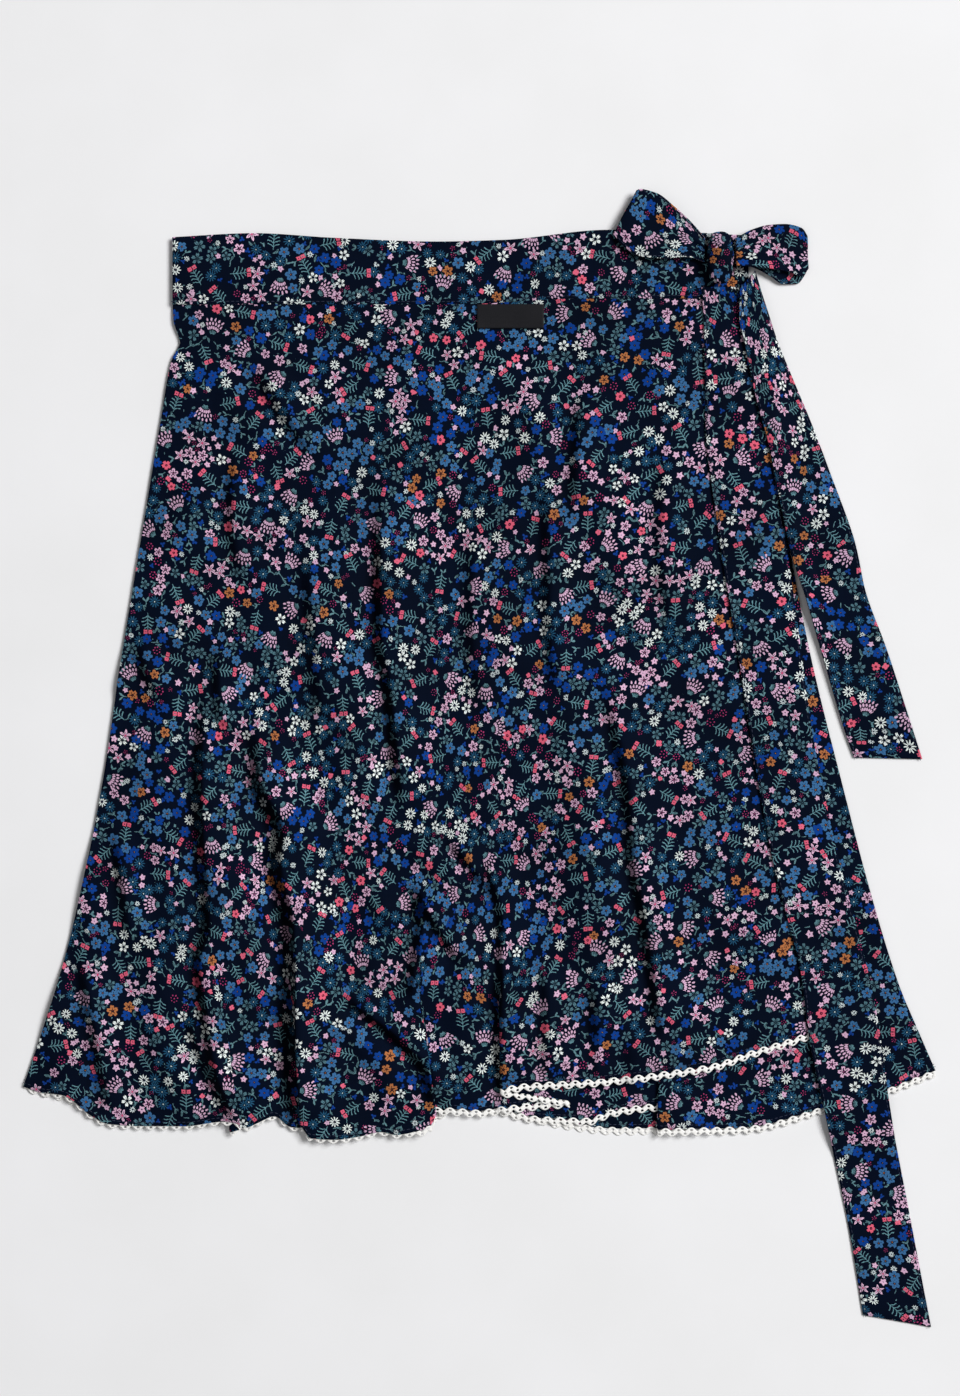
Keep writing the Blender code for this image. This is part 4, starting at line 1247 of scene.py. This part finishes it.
# The print in a fold's hollow is painted this much darker: painted shade by the fold's wall.
PAINTED_FOLD_SHADE = 0.55
# These draw the weave's bump, its roughness and the cloth's tone, with the painted shade in the folds.
WEAVE_STEPS = """
across MULTIPLY x per_yarn
down MULTIPLY y per_yarn
across_yarn SINE across
down_yarn SINE down
woven MULTIPLY across_yarn down_yarn
slub ADD warp weft
cloth MULTIPLY_ADD slub 1.6 woven
shade_1 MULTIPLY_ADD worn 0.7 0.36
shade_2 MULTIPLY_ADD slub 0.22 shade_1
open_share MULTIPLY_ADD hollow hollow_shade 1
shade_3 MULTIPLY shade_2 open_share
shade MINIMUM shade_3 1.2
rough_1 MULTIPLY_ADD worn 0.14 0.68
rough MULTIPLY_ADD slub 0.05 rough_1
"""


def printed_viscose(settings):
    """Plain-woven viscose, printed on its face: matt and limp, with a faint weave and uneven yarns."""
    material, tree = new_material(
        "plain woven viscose, printed", Roughness=0.78, IOR=1.5, Specular_IOR_Level=0.03
    )
    cloth = add(tree, "ShaderNodeUVMap", uv_map="cloth")
    scaled = [(0, cloth), (1, (PER_METRE, PER_METRE, 0.0))]
    point = add(tree, "ShaderNodeVectorMath", scaled, operation="MULTIPLY")
    colour = printed_colour(tree, point, settings)
    apart = add(tree, "ShaderNodeSeparateXYZ", [(0, point)])
    # The hollow attribute darkens the print in the folds' hollows: painted shade.
    hollow = add(tree, "ShaderNodeAttribute", attribute_name="hollow")
    known = {
        "x": apart.outputs[0],
        "y": apart.outputs[1],
        "hollow": hollow.outputs["Fac"],
        "hollow_shade": -PAINTED_FOLD_SHADE,
        "per_yarn": 2 * math.pi / WEAVE_PITCH,
    }
    patches = [("Vector", point), ("Scale", 1 / WORN_PATCH), ("Detail", 3.0)]
    known["worn"] = add(tree, "ShaderNodeTexNoise", patches, noise_dimensions="2D")
    for name, scale in (("warp", (1.4, 1 / SLUB_LENGTH, 1.0)), ("weft", (1 / SLUB_LENGTH, 1.4, 1.0))):
        yarn = add(tree, "ShaderNodeMapping", [("Vector", point), ("Scale", scale)])
        slubs = [("Vector", yarn), ("Scale", 1.0), ("Detail", 1.0)]
        known[name] = add(tree, "ShaderNodeTexNoise", slubs, noise_dimensions="2D")
    follow(tree, known, WEAVE_STEPS)
    shade = add(tree, "ShaderNodeCombineColor", [(index, known["shade"]) for index in range(3)])
    tint = [(0, 1.0), (6, colour), (7, shade)]
    tinted = add(tree, "ShaderNodeMix", tint, data_type="RGBA", blend_type="MULTIPLY")
    surfaced(tree, tinted.outputs[2], known["cloth"], 0.5, WEAVE_DEPTH, known["rough"])
    return material


# Crochet loops are about 1.1 mm across. The ribbon's ribs and yarns are nearer 0.3 mm and 0.2 mm,
# and are drawn coarser so that they show.
LACE_LOOP = 1.1
LABEL_RIB = 0.8
LABEL_YARN = 1.1
# These give the loops their bump and paint shade into the gaps between them.
LOOP_STEPS = """
mound SUBTRACT 1 away
height MULTIPLY_ADD fuzz 0.5 mound
gap MULTIPLY_ADD away 1.5 -0.45
gap_share MULTIPLY gap 0.5
shade MAXIMUM gap_share 0
rough MULTIPLY_ADD fuzz 0.12 0.82
"""
RIBBON_STEPS = """
rib_turn MULTIPLY y per_rib
rib SINE rib_turn
yarn_turn MULTIPLY x per_yarn
yarn SINE yarn_turn
woven MULTIPLY rib yarn
height MULTIPLY_ADD rib 0.6 woven
tone_1 MULTIPLY_ADD woven 0.12 0.35
tone MULTIPLY_ADD uneven 0.5 tone_1
rough MULTIPLY_ADD uneven 0.2 0.42
"""


def crochet_cotton(settings):
    """Machine-made cotton lace: matt off-white yarn in tight loops, with painted shade between them."""
    material, tree = new_material(
        "cotton lace", Roughness=0.9, IOR=1.5, Sheen_Weight=0.15, Specular_IOR_Level=0.25
    )
    place = add(tree, "ShaderNodeTexCoord").outputs["Object"]
    cells = [("Vector", place), ("Scale", PER_METRE / LACE_LOOP), ("Randomness", 0.55)]
    loops = add(tree, "ShaderNodeTexVoronoi", cells, feature="F1")
    fuzz = add(tree, "ShaderNodeTexNoise", [("Vector", place), ("Scale", 420.0), ("Detail", 3.0)])
    known = {"away": loops.outputs["Distance"], "fuzz": fuzz}
    follow(tree, known, LOOP_STEPS)
    # The gaps between the loops are mixed towards grey: painted shade.
    between = [(0, known["shade"]), (6, (*settings.lace_colour, 1.0)), (7, linear("#cbc7c2"))]
    colour = add(tree, "ShaderNodeMix", between, data_type="RGBA").outputs[2]
    surfaced(tree, colour, known["height"], 0.7, 0.00025, known["rough"])
    return material


def spun_thread(settings):
    """Navy spun polyester sewing thread: two plies twisted together, with a low sheen."""
    material, tree = new_material("spun polyester thread, navy", Roughness=0.6, IOR=1.5, Sheen_Weight=0.1)
    place = add(tree, "ShaderNodeTexCoord").outputs["Object"]
    plies = add(tree, "ShaderNodeTexNoise", [("Vector", place), ("Scale", 1500.0), ("Detail", 2.0)])
    tone = add(tree, "ShaderNodeValToRGB", [(0, plies)])
    for stop, position, share in zip(tone.color_ramp.elements, (0.3, 0.7), (0.6, 1.5)):
        stop.color = tuple(share * part for part in linear("#1b2440")[:3]) + (1.0,)
        stop.position = position
    surfaced(tree, tone, plies, 0.5, 0.0001)
    return material


def woven_label(settings):
    """A black polyester ribbon woven in satin: smooth, with fine ribs across it and a soft shine."""
    material, tree = new_material("polyester satin ribbon", Roughness=0.5, IOR=1.54, Specular_IOR_Level=0.1)
    place = add(tree, "ShaderNodeTexCoord").outputs["Object"]
    apart = add(tree, "ShaderNodeSeparateXYZ", [(0, place)])
    known = {
        "x": apart.outputs[0],
        "y": apart.outputs[1],
        "uneven": add(tree, "ShaderNodeTexNoise", [("Vector", place), ("Scale", 900.0), ("Detail", 2.0)]),
        "per_rib": 2 * math.pi * PER_METRE / LABEL_RIB,
        "per_yarn": 2 * math.pi * PER_METRE / LABEL_YARN,
    }
    follow(tree, known, RIBBON_STEPS)
    tones = [(0, known["tone"]), (6, linear("#08080a")), (7, linear("#1b1b20"))]
    colour = add(tree, "ShaderNodeMix", tones, data_type="RGBA").outputs[2]
    surfaced(tree, colour, known["height"], 0.5, 0.00006, known["rough"])
    return material


def painted_table(settings):
    """A matt white painted table top, which is almost even."""
    material, tree = new_material("matt white paint", Roughness=0.85, IOR=1.5, Specular_IOR_Level=0.1)
    place = add(tree, "ShaderNodeTexCoord").outputs["Object"]
    cloudy = add(tree, "ShaderNodeTexNoise", [("Vector", place), ("Scale", 9.0), ("Detail", 5.0)])
    tones = [(0, cloudy), (6, (*settings.table_colour, 1.0)), (7, linear("#efeff1"))]
    colour = add(tree, "ShaderNodeMix", tones, data_type="RGBA").outputs[2]
    surfaced(tree, colour, cloudy, 0.1, 0.0004)
    return material


MADE = {}


def material_of(maker, settings):
    """The material that this function makes, made the first time that it is asked for."""
    if maker not in MADE:
        MADE[maker] = maker(settings)
    return MADE[maker]


# The lace is a wavy ribbon of crochet with an eyelet in each bulge.
LACE_PERIOD = 8.5
LACE_SWAY = 1.2
LACE_HALF = 1.65
LACE_THICK = 0.36
LACE_ABOVE = 1.0
LACE_LIFT = 0.35
LACE_COLUMNS = 16
# Its four rows of points across: their place, and how thick the lace is there.
LACE_ROWS = np.array([-1.0, -0.4, 0.4, 1.0])
LACE_FULL = np.array([0.45, 1.0, 1.0, 0.45])
EYELETS = {(place, 1) for place in (3, 4, 5, 11, 12, 13)}
# The over-lap's lace is sewn behind its hem to the left of this x, and on top of it to the right.
LACE_BEHIND = -34.0
LACE_BEHIND_RUN = 16.0
LACE_TUCK = np.array([0.0, 1.9, -0.95])


def lace_motif():
    """One period of lace along x, as a closed solid with two eyelets, whose y falls from the hem."""
    turn = 2 * math.pi * np.arange(LACE_COLUMNS + 1) / LACE_COLUMNS
    x = LACE_PERIOD * np.arange(LACE_COLUMNS + 1) / LACE_COLUMNS
    middle = LACE_ABOVE - LACE_HALF - LACE_SWAY + LACE_SWAY * np.sin(turn)
    slope = LACE_SWAY * 2 * math.pi / LACE_PERIOD * np.cos(turn)
    off = LACE_HALF * LACE_ROWS[None, :] / np.sqrt(1 + slope**2)[:, None]
    y = middle[:, None] + off
    z = LACE_LIFT * smooth((y + LACE_WIDTH * 0.5) / (LACE_WIDTH * 0.5))
    flat = np.stack([x[:, None] - slope[:, None] * off, y, z], axis=2)
    thick = np.zeros_like(flat)
    thick[..., 2] = LACE_THICK / 2 * LACE_FULL
    count = (LACE_COLUMNS + 1) * 4
    cells = {(column, row) for column in range(LACE_COLUMNS) for row in range(3)} - EYELETS
    faces = []
    for column, row in sorted(cells):
        a, b = column * 4 + row, (column + 1) * 4 + row
        c, d = b + 1, a + 1
        faces.append((a, b, c, d))
        faces.append((a + count, d + count, c + count, b + count))
        beside = (
            ((column, row - 1), a, b),
            ((column + 1, row), b, c),
            ((column, row + 1), c, d),
            ((column - 1, row), d, a),
        )
        for cell, first, second in beside:
            joins_next = cell[0] in (-1, LACE_COLUMNS)
            if cell not in cells and not joins_next:
                faces.append((second, first, first + count, second + count))
    points = np.concatenate([(flat + thick).reshape(-1, 3), (flat - thick).reshape(-1, 3)])
    return points, faces


def tucked(hem):
    """The over-lap's hem line, moved up and under the cloth where the lace is sewn behind the hem."""
    return hem + smooth((LACE_BEHIND - hem[:, 0]) / LACE_BEHIND_RUN)[:, None] * LACE_TUCK


def line_piece(name, lines):
    """A mesh of open lines of points in millimetres, for a node tree to work along."""
    mesh = bpy.data.meshes.new(name)
    edges = []
    start = 0
    for line in lines:
        edges += [(start + place, start + place + 1) for place in range(len(line) - 1)]
        start += len(line)
    mesh.from_pydata((np.concatenate(lines) * MM).tolist(), edges, [])
    return new_object(name, mesh)


def new_tree(name, **sizes):
    """An empty geometry tree with a named input for each size."""
    tree = bpy.data.node_groups.new(name, "GeometryNodeTree")
    for way in ("INPUT", "OUTPUT"):
        tree.interface.new_socket(name="Geometry", in_out=way, socket_type="NodeSocketGeometry")
    for label, kind in sizes.items():
        tree.interface.new_socket(name=label, in_out="INPUT", socket_type=f"NodeSocket{kind}")
    return tree, add(tree, "NodeGroupInput").outputs


def painted_end(tree, shape, material):
    """Ends a geometry tree with its shape in its material."""
    painted = add(tree, "GeometryNodeSetMaterial", [("Geometry", shape), ("Material", material)])
    add(tree, "NodeGroupOutput", [(0, painted)])
    return tree


def grown(piece, tree, values, material):
    """Runs the tree on the piece and keeps the result as its plain mesh."""
    modifier = piece.modifiers.new(tree.name, "NODES")
    modifier.node_group = tree
    for item in tree.interface.items_tree:
        if item.in_out == "INPUT" and item.name in values:
            modifier[item.identifier] = values[item.name]
    graph = bpy.context.evaluated_depsgraph_get()
    graph.update()
    mesh = bpy.data.meshes.new_from_object(piece.evaluated_get(graph), depsgraph=graph)
    piece.modifiers.clear()
    old = piece.data
    piece.data = mesh
    bpy.data.meshes.remove(old)
    mesh.name = piece.name
    mesh.materials.clear()
    mesh.materials.append(material)
    mesh.shade_smooth()
    return piece


def lace_tree(motif, material):
    """Repeats the motif along a straight line and bends the row to follow the hem."""
    tree, start = new_tree("lace along a hem", Period="Float", Count="Int", Length="Float")
    hem = add(tree, "GeometryNodeMeshToCurve", [(0, start["Geometry"])])
    step = add(tree, "ShaderNodeCombineXYZ", [(0, start["Period"])])
    row = add(tree, "GeometryNodeMeshLine", [("Count", start["Count"]), ("Offset", step)])
    shape = add(tree, "GeometryNodeObjectInfo", [("Object", motif)]).outputs["Geometry"]
    copies = add(tree, "GeometryNodeInstanceOnPoints", [("Points", row), ("Instance", shape)])
    real = add(tree, "GeometryNodeRealizeInstances", [(0, copies)])
    place = add(tree, "ShaderNodeSeparateXYZ", [(0, add(tree, "GeometryNodeInputPosition"))])
    way = add(tree, "ShaderNodeMath", [(0, place), (1, start["Length"])], operation="MULTIPLY")
    along = [("Curves", hem), ("Length", way)]
    at = add(tree, "GeometryNodeSampleCurve", along, mode="LENGTH", data_type="FLOAT")
    across = [(0, (0.0, -1.0, 0.0)), (1, at.outputs["Tangent"])]
    up = add(tree, "ShaderNodeVectorMath", across, operation="CROSS_PRODUCT")
    raised = add(tree, "ShaderNodeVectorMath", [(0, up), ("Scale", place.outputs[2])], operation="SCALE")
    down = add(tree, "ShaderNodeCombineXYZ", [(1, place.outputs[1])])
    off = add(tree, "ShaderNodeVectorMath", [(0, raised), (1, down)])
    bent = add(tree, "ShaderNodeVectorMath", [(0, at.outputs["Position"]), (1, off)])
    moved = add(tree, "GeometryNodeSetPosition", [("Geometry", real), ("Position", bent)])
    joined = add(tree, "GeometryNodeMergeByDistance", [("Geometry", moved), ("Distance", 0.00002)])
    return painted_end(tree, joined, material)


def stitch_tree(material):
    """Lays one stitch after another along each line."""
    tree, start = new_tree("stitches along a seam", Pitch="Float", Length="Float", Thickness="Float")
    seam = add(tree, "GeometryNodeMeshToCurve", [(0, start["Geometry"])])
    spacing = [("Curve", seam), ("Length", start["Pitch"])]
    spaced = add(tree, "GeometryNodeResampleCurve", spacing, mode="LENGTH")
    half = add(tree, "ShaderNodeMath", [(0, start["Length"]), (1, 0.5)], operation="MULTIPLY")
    thick = add(tree, "ShaderNodeMath", [(0, start["Thickness"]), (1, 0.5)], operation="MULTIPLY")
    size = add(tree, "ShaderNodeCombineXYZ", [(0, half), (1, thick), (2, thick)])
    ball = add(tree, "GeometryNodeMeshUVSphere", [("Segments", 6), ("Rings", 4), ("Radius", 1.0)])
    turned = add(tree, "GeometryNodeTransform", [("Geometry", ball), ("Rotation", (0.0, math.pi / 2, 0.0))])
    along = add(tree, "GeometryNodeInputTangent")
    facing = add(tree, "FunctionNodeAlignRotationToVector", [("Vector", along)], axis="X")
    stitch = [("Points", spaced), ("Instance", turned), ("Rotation", facing), ("Scale", size)]
    laid = add(tree, "GeometryNodeInstanceOnPoints", stitch)
    return painted_end(tree, add(tree, "GeometryNodeRealizeInstances", [(0, laid)]), material)


def seam_line(sheet, height, first=0):
    """The line along which a waistband's sheet is stitched, lifted by this height."""
    points = sheet[..., :3]
    at = STITCHED_AT * (len(points) - 1)
    low = int(min(math.floor(at), len(points) - 2))
    line = points[low] * (1 - (at - low)) + points[low + 1] * (at - low)
    return (line + normals_of(points)[low] * height)[first:]


def edge_line(sheet, axis, edge, inner, normal_at, inside, height):
    """A line this far inside one edge of a sheet, lifted by this height."""
    points = np.swapaxes(sheet[..., :3], 0, axis)
    normal = np.swapaxes(normals_of(sheet[..., :3]), 0, axis)
    gap = np.linalg.norm(points[inner] - points[edge], axis=1, keepdims=True)
    return points[edge] + (points[inner] - points[edge]) * inside / gap + normal[normal_at] * height


def settled(piece, nodes):
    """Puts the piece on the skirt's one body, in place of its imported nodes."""
    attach(piece, "root")
    if nodes:
        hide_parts(*nodes)
    return piece


class ClothSettings(bpy.types.PropertyGroup):
    panel_thickness: bpy.props.FloatProperty(
        name="Panel thickness", description="Thickness of the single cloth", default=0.0007, unit="LENGTH"
    )
    band_thickness: bpy.props.FloatProperty(
        name="Waistband thickness",
        description="Thickness of the doubled waistband",
        default=0.0011,
        unit="LENGTH",
    )
    tie_thickness: bpy.props.FloatProperty(
        name="Tie thickness", description="Thickness of the doubled ties", default=0.0012, unit="LENGTH"
    )
    ground_colour: bpy.props.FloatVectorProperty(
        name="Ground",
        description="Colour of the cloth between the flowers",
        subtype="COLOR",
        default=linear(GROUND)[:3],
    )
    leaf_colour: bpy.props.FloatVectorProperty(
        name="Leaves", description="Colour of the small leaves", subtype="COLOR", default=linear(LEAF)[:3]
    )
    palm_colour: bpy.props.FloatVectorProperty(
        name="Sprigs",
        description="Colour of the sprigs and their stems",
        subtype="COLOR",
        default=linear(PALM)[:3],
    )


class TrimSettings(bpy.types.PropertyGroup):
    lace_colour: bpy.props.FloatVectorProperty(
        name="Lace", description="Colour of the cotton lace", subtype="COLOR", default=linear("#fbfaf7")[:3]
    )
    stitch_pitch: bpy.props.FloatProperty(
        name="Stitch pitch", description="From one stitch to the next", default=0.0033, unit="LENGTH"
    )
    stitch_length: bpy.props.FloatProperty(
        name="Stitch length", description="Length of the thread that shows", default=0.0025, unit="LENGTH"
    )
    thread_thickness: bpy.props.FloatProperty(
        name="Thread thickness", description="Thickness of the sewing thread", default=0.00042, unit="LENGTH"
    )
    label_thickness: bpy.props.FloatProperty(
        name="Label thickness", description="Thickness of the folded label", default=0.0008, unit="LENGTH"
    )


class StageSettings(bpy.types.PropertyGroup):
    table_colour: bpy.props.FloatVectorProperty(
        name="Table", description="Colour of the table", subtype="COLOR", default=linear("#e5e5e5")[:3]
    )
    table_size: bpy.props.FloatProperty(
        name="Table size", description="Side of the table top", default=9.0, unit="LENGTH"
    )
    camera_height: bpy.props.FloatProperty(
        name="Camera height", description="Height of the camera over the table", default=2.175, unit="LENGTH"
    )
    key_power: bpy.props.FloatProperty(
        name="Main light", description="Power of the main light in watts", default=790.0, unit="POWER"
    )
    room_strength: bpy.props.FloatProperty(
        name="Room light", description="Strength of the even light of the room", default=0.20
    )


# Each panel's cut size and area, which is flared: wider at its hem than at the waist. Then what it
# rests on, and what is sewn to it.
PANEL_CUTS = {
    "front_over": (
        (0.66, 0.56), 0.268, ["front_under_cloth", "back_cloth"], ["lace_front_over_trim", "hem_stitching"]
    ),
    "front_under": ((0.47, 0.56), 0.203, ["back_cloth"], ["lace_front_under_trim"]),
    "back": ((0.62, 0.55), 0.272, [], ["lace_back_trim"]),
}
# Stitches lie this far inside a hem or a tie's edge and stand this far out of the cloth, and the
# under-lap's band shows in this many of its points.
HEM_STITCH = 2.6
TIE_STITCH = 1.6
STITCH_PROUD = 0.05
BAND_UNDER_SEEN = 8
# The table's top is just under the back panel, so that the two surfaces never meet.
TABLE_LEVEL = -0.0001
# Each light's place, its share of the main light's power and the side of its square.
LIGHTS = [
    ("window_light", (5.0, 2.4, 6.5), 1.0, 3.6),
    ("fill_light", (-3.0, -0.6, 5.6), 0.03, 3.4),
]
LENS = 85.0
SENSOR = 36.0
VIEW_MIDDLE = (0.001, 0.040)


class SKIRT_OT_stage(bpy.types.Operator):
    """Make the table, the lights and the camera"""

    bl_idname = "skirt.stage"
    bl_label = "Table, lights and camera"

    def execute(self, context):
        settings = context.scene.skirt_stage
        half = settings.table_size / 2
        mesh = bpy.data.meshes.new("table_top")
        corners = [(-half, -half), (half, -half), (half, half), (-half, half)]
        mesh.from_pydata([(x, y, TABLE_LEVEL) for x, y in corners], [], [(0, 1, 2, 3)])
        mesh.materials.append(material_of(painted_table, settings))
        new_object("table_top", mesh)

        for name, place, power, side in LIGHTS:
            lamp = bpy.data.lights.new(name, "AREA")
            lamp.energy = power * settings.key_power
            lamp.size = side
            light = new_object(name, lamp)
            light.location = place
            light.rotation_euler = (-light.location).to_track_quat("-Z", "Y").to_euler()

        world = bpy.data.worlds.new("even studio light")
        world.use_nodes = True
        air = world.node_tree.nodes["Background"]
        air.inputs["Color"].default_value = linear("#fdfdfe")
        air.inputs["Strength"].default_value = settings.room_strength
        context.scene.world = world
        context.scene.view_settings.view_transform = "Standard"

        lens = bpy.data.cameras.new("overhead_camera")
        lens.lens = LENS
        lens.sensor_width = SENSOR
        lens.clip_end = 50.0
        camera = new_object("overhead_camera", lens)
        camera.location = (*VIEW_MIDDLE, settings.camera_height)
        context.scene.camera = camera
        return {"FINISHED"}


class SKIRT_OT_lace(bpy.types.Operator):
    """Make the lace along the hem of each panel"""

    bl_idname = "skirt.lace"
    bl_label = "Lace"

    def execute(self, context):
        material = material_of(crochet_cotton, context.scene.skirt_trim)
        points, faces = lace_motif()
        mesh = bpy.data.meshes.new("lace_motif")
        mesh.from_pydata((points * MM).tolist(), [], faces)
        motif = new_object("lace_motif", mesh)
        tree = lace_tree(motif, material)
        for name, sheet in SHEETS.items():
            hem = sheet[-1, :, :3]
            length = float(np.linalg.norm(np.diff(hem, axis=0), axis=1).sum())
            count = round(length / LACE_PERIOD)
            if name == "front_over":
                hem = tucked(hem)
            piece = line_piece(f"lace_{name}_trim", [hem])
            values = {"Period": LACE_PERIOD * MM, "Count": count, "Length": length / (count * LACE_PERIOD)}
            grown(piece, tree, values, material)
            settled(piece, [f"lace_{name}"])
        bpy.data.objects.remove(motif)
        return {"FINISHED"}


class SKIRT_OT_stitching(bpy.types.Operator):
    """Sew the lines of stitches along the waistband, the hems and the ties"""

    bl_idname = "skirt.stitching"
    bl_label = "Stitching"

    def execute(self, context):
        trim = context.scene.skirt_trim
        cloth = context.scene.skirt_cloth
        navy = material_of(spun_thread, trim)
        tree = stitch_tree(navy)
        sizes = (trim.stitch_pitch, trim.stitch_length, trim.thread_thickness)
        values = dict(zip(("Pitch", "Length", "Thickness"), sizes))
        panel_top, tie_top, band_top = (
            thickness / MM / 2 + STITCH_PROUD
            for thickness in (cloth.panel_thickness, cloth.tie_thickness, cloth.band_thickness)
        )
        hems = [edge_line(sheet, 0, -1, -2, -1, HEM_STITCH, panel_top) for sheet in SHEETS.values()]
        waist = [
            seam_line(BANDS["over"], band_top),
            seam_line(BANDS["under"], band_top, first=-BAND_UNDER_SEEN),
        ]
        lines = {"hem_stitching": hems, "waistband_stitching": waist}
        for name, sheet in TIES.items():
            sides = ((0, 1), (-1, -2))
            both = [edge_line(sheet, 1, edge, inner, inner, TIE_STITCH, tie_top) for edge, inner in sides]
            lines[f"{name}_stitching"] = both
        for name, paths in lines.items():
            settled(grown(line_piece(name, paths), tree, values, navy), [])
        return {"FINISHED"}


class SKIRT_OT_panels(bpy.types.Operator):
    """Make the over-lap, the under-lap and the back"""

    bl_idname = "skirt.panels"
    bl_label = "Panels"

    def execute(self, context):
        cloth = context.scene.skirt_cloth
        material = material_of(printed_viscose, cloth)
        for name, (flat, area, under, trims) in PANEL_CUTS.items():
            piece = shell(f"{name}_cloth", SHEETS[name], cloth.panel_thickness / MM, material)
            # Only the over-lap carries painted shade in the hollows of its folds.
            if name == "front_over":
                mark_painted_fold_shade(piece)
            settled(piece, [f"{name}_panel"])
        return {"FINISHED"}


class SKIRT_OT_waistband(bpy.types.Operator):
    """Make the three stretches of the waistband that lie on each other"""

    bl_idname = "skirt.waistband"
    bl_label = "Waistband"

    def execute(self, context):
        cloth = context.scene.skirt_cloth
        material = material_of(printed_viscose, cloth)
        for name, sheet in BANDS.items():
            piece = shell(f"waistband_{name}_cloth", sheet, cloth.band_thickness / MM, material, FAR_SIDE)
            settled(piece, [f"waistband_{name}"])
        return {"FINISHED"}


class SKIRT_OT_ties(bpy.types.Operator):
    """Make the free ends of the ties, the loops of the bow and its knot"""

    bl_idname = "skirt.ties"
    bl_label = "Ties and bow"

    def execute(self, context):
        cloth = context.scene.skirt_cloth
        material = material_of(printed_viscose, cloth)
        for name, sheet in TIES.items():
            piece = shell(f"{name}_cloth", sheet, cloth.tie_thickness / MM, material, FAR_SIDE)
            settled(piece, [name])
        settled(knot_piece(material), ["tie_knot"])
        return {"FINISHED"}


class SKIRT_OT_label(bpy.types.Operator):
    """Make the bare woven label that hangs from the waist seam"""

    bl_idname = "skirt.label"
    bl_label = "Label"

    def execute(self, context):
        trim = context.scene.skirt_trim
        ribbon = material_of(woven_label, trim)
        piece = shell("label_ribbon", label_sheet(), trim.label_thickness / MM, ribbon)
        settled(piece, ["label"])
        return {"FINISHED"}


class SKIRT_PT_pieces(bpy.types.Panel):
    """Lists the skirt's pieces and their settings"""

    bl_label = "Wrap skirt"
    bl_idname = "SKIRT_PT_pieces"
    bl_space_type = "VIEW_3D"
    bl_region_type = "UI"
    bl_category = "Skirt"

    def draw(self, context):
        for group in SETTINGS:
            box = self.layout.box()
            settings = getattr(context.scene, group)
            for name in SETTINGS[group].__annotations__:
                box.prop(settings, name)
        for operator in OPERATORS:
            self.layout.operator(operator.bl_idname)


SETTINGS = {"skirt_cloth": ClothSettings, "skirt_trim": TrimSettings, "skirt_stage": StageSettings}
OPERATORS = [
    SKIRT_OT_stage,
    SKIRT_OT_lace,
    SKIRT_OT_stitching,
    SKIRT_OT_panels,
    SKIRT_OT_waistband,
    SKIRT_OT_ties,
    SKIRT_OT_label,
]
SHEETS = panel_sheets()
BANDS = {
    "back": band_sheet(BAND_LEFT, BAND_RIGHT, BAND_LEVELS[0], 90, (231.0, -88.0), no_rise),
    "under": band_sheet(BAND_UNDER_LEFT, BAND_RIGHT, BAND_LEVELS[1], 80, (-57.0, 391.0), no_rise),
    "over": band_sheet(BAND_LEFT, BAND_OVER_RIGHT, BAND_LEVELS[2], 190, (37.0, 91.0), band_rise),
}
TIES = {
    "tie_tail_long": tie_sheet(LONG_TAIL, 190, 14, long_tail_height, 41.0, (301.0, 411.0)),
    "tie_tail_short": tie_sheet(SHORT_TAIL, 110, 18, short_tail_height, 41.0, (-388.0, 205.0)),
    "bow_loop_left": loop_sheet(LEFT_LOOP, 90, 30, 40.0, (518.0, -94.0)),
    "bow_loop_right": loop_sheet(RIGHT_LOOP, 90, 30, 34.0, (-501.0, -262.0)),
}


def register():
    for group, settings in SETTINGS.items():
        bpy.utils.register_class(settings)
        setattr(bpy.types.Scene, group, bpy.props.PointerProperty(type=settings))
    for operator in OPERATORS:
        bpy.utils.register_class(operator)
    bpy.utils.register_class(SKIRT_PT_pieces)


def unregister():
    bpy.utils.unregister_class(SKIRT_PT_pieces)
    for operator in reversed(OPERATORS):
        bpy.utils.unregister_class(operator)
    for group, settings in SETTINGS.items():
        delattr(bpy.types.Scene, group)
        bpy.utils.unregister_class(settings)


def main():
    register()
    for operator in OPERATORS:
        group, name = operator.bl_idname.split(".")
        getattr(getattr(bpy.ops, group), name)()


if __name__ == "__main__":
    main()
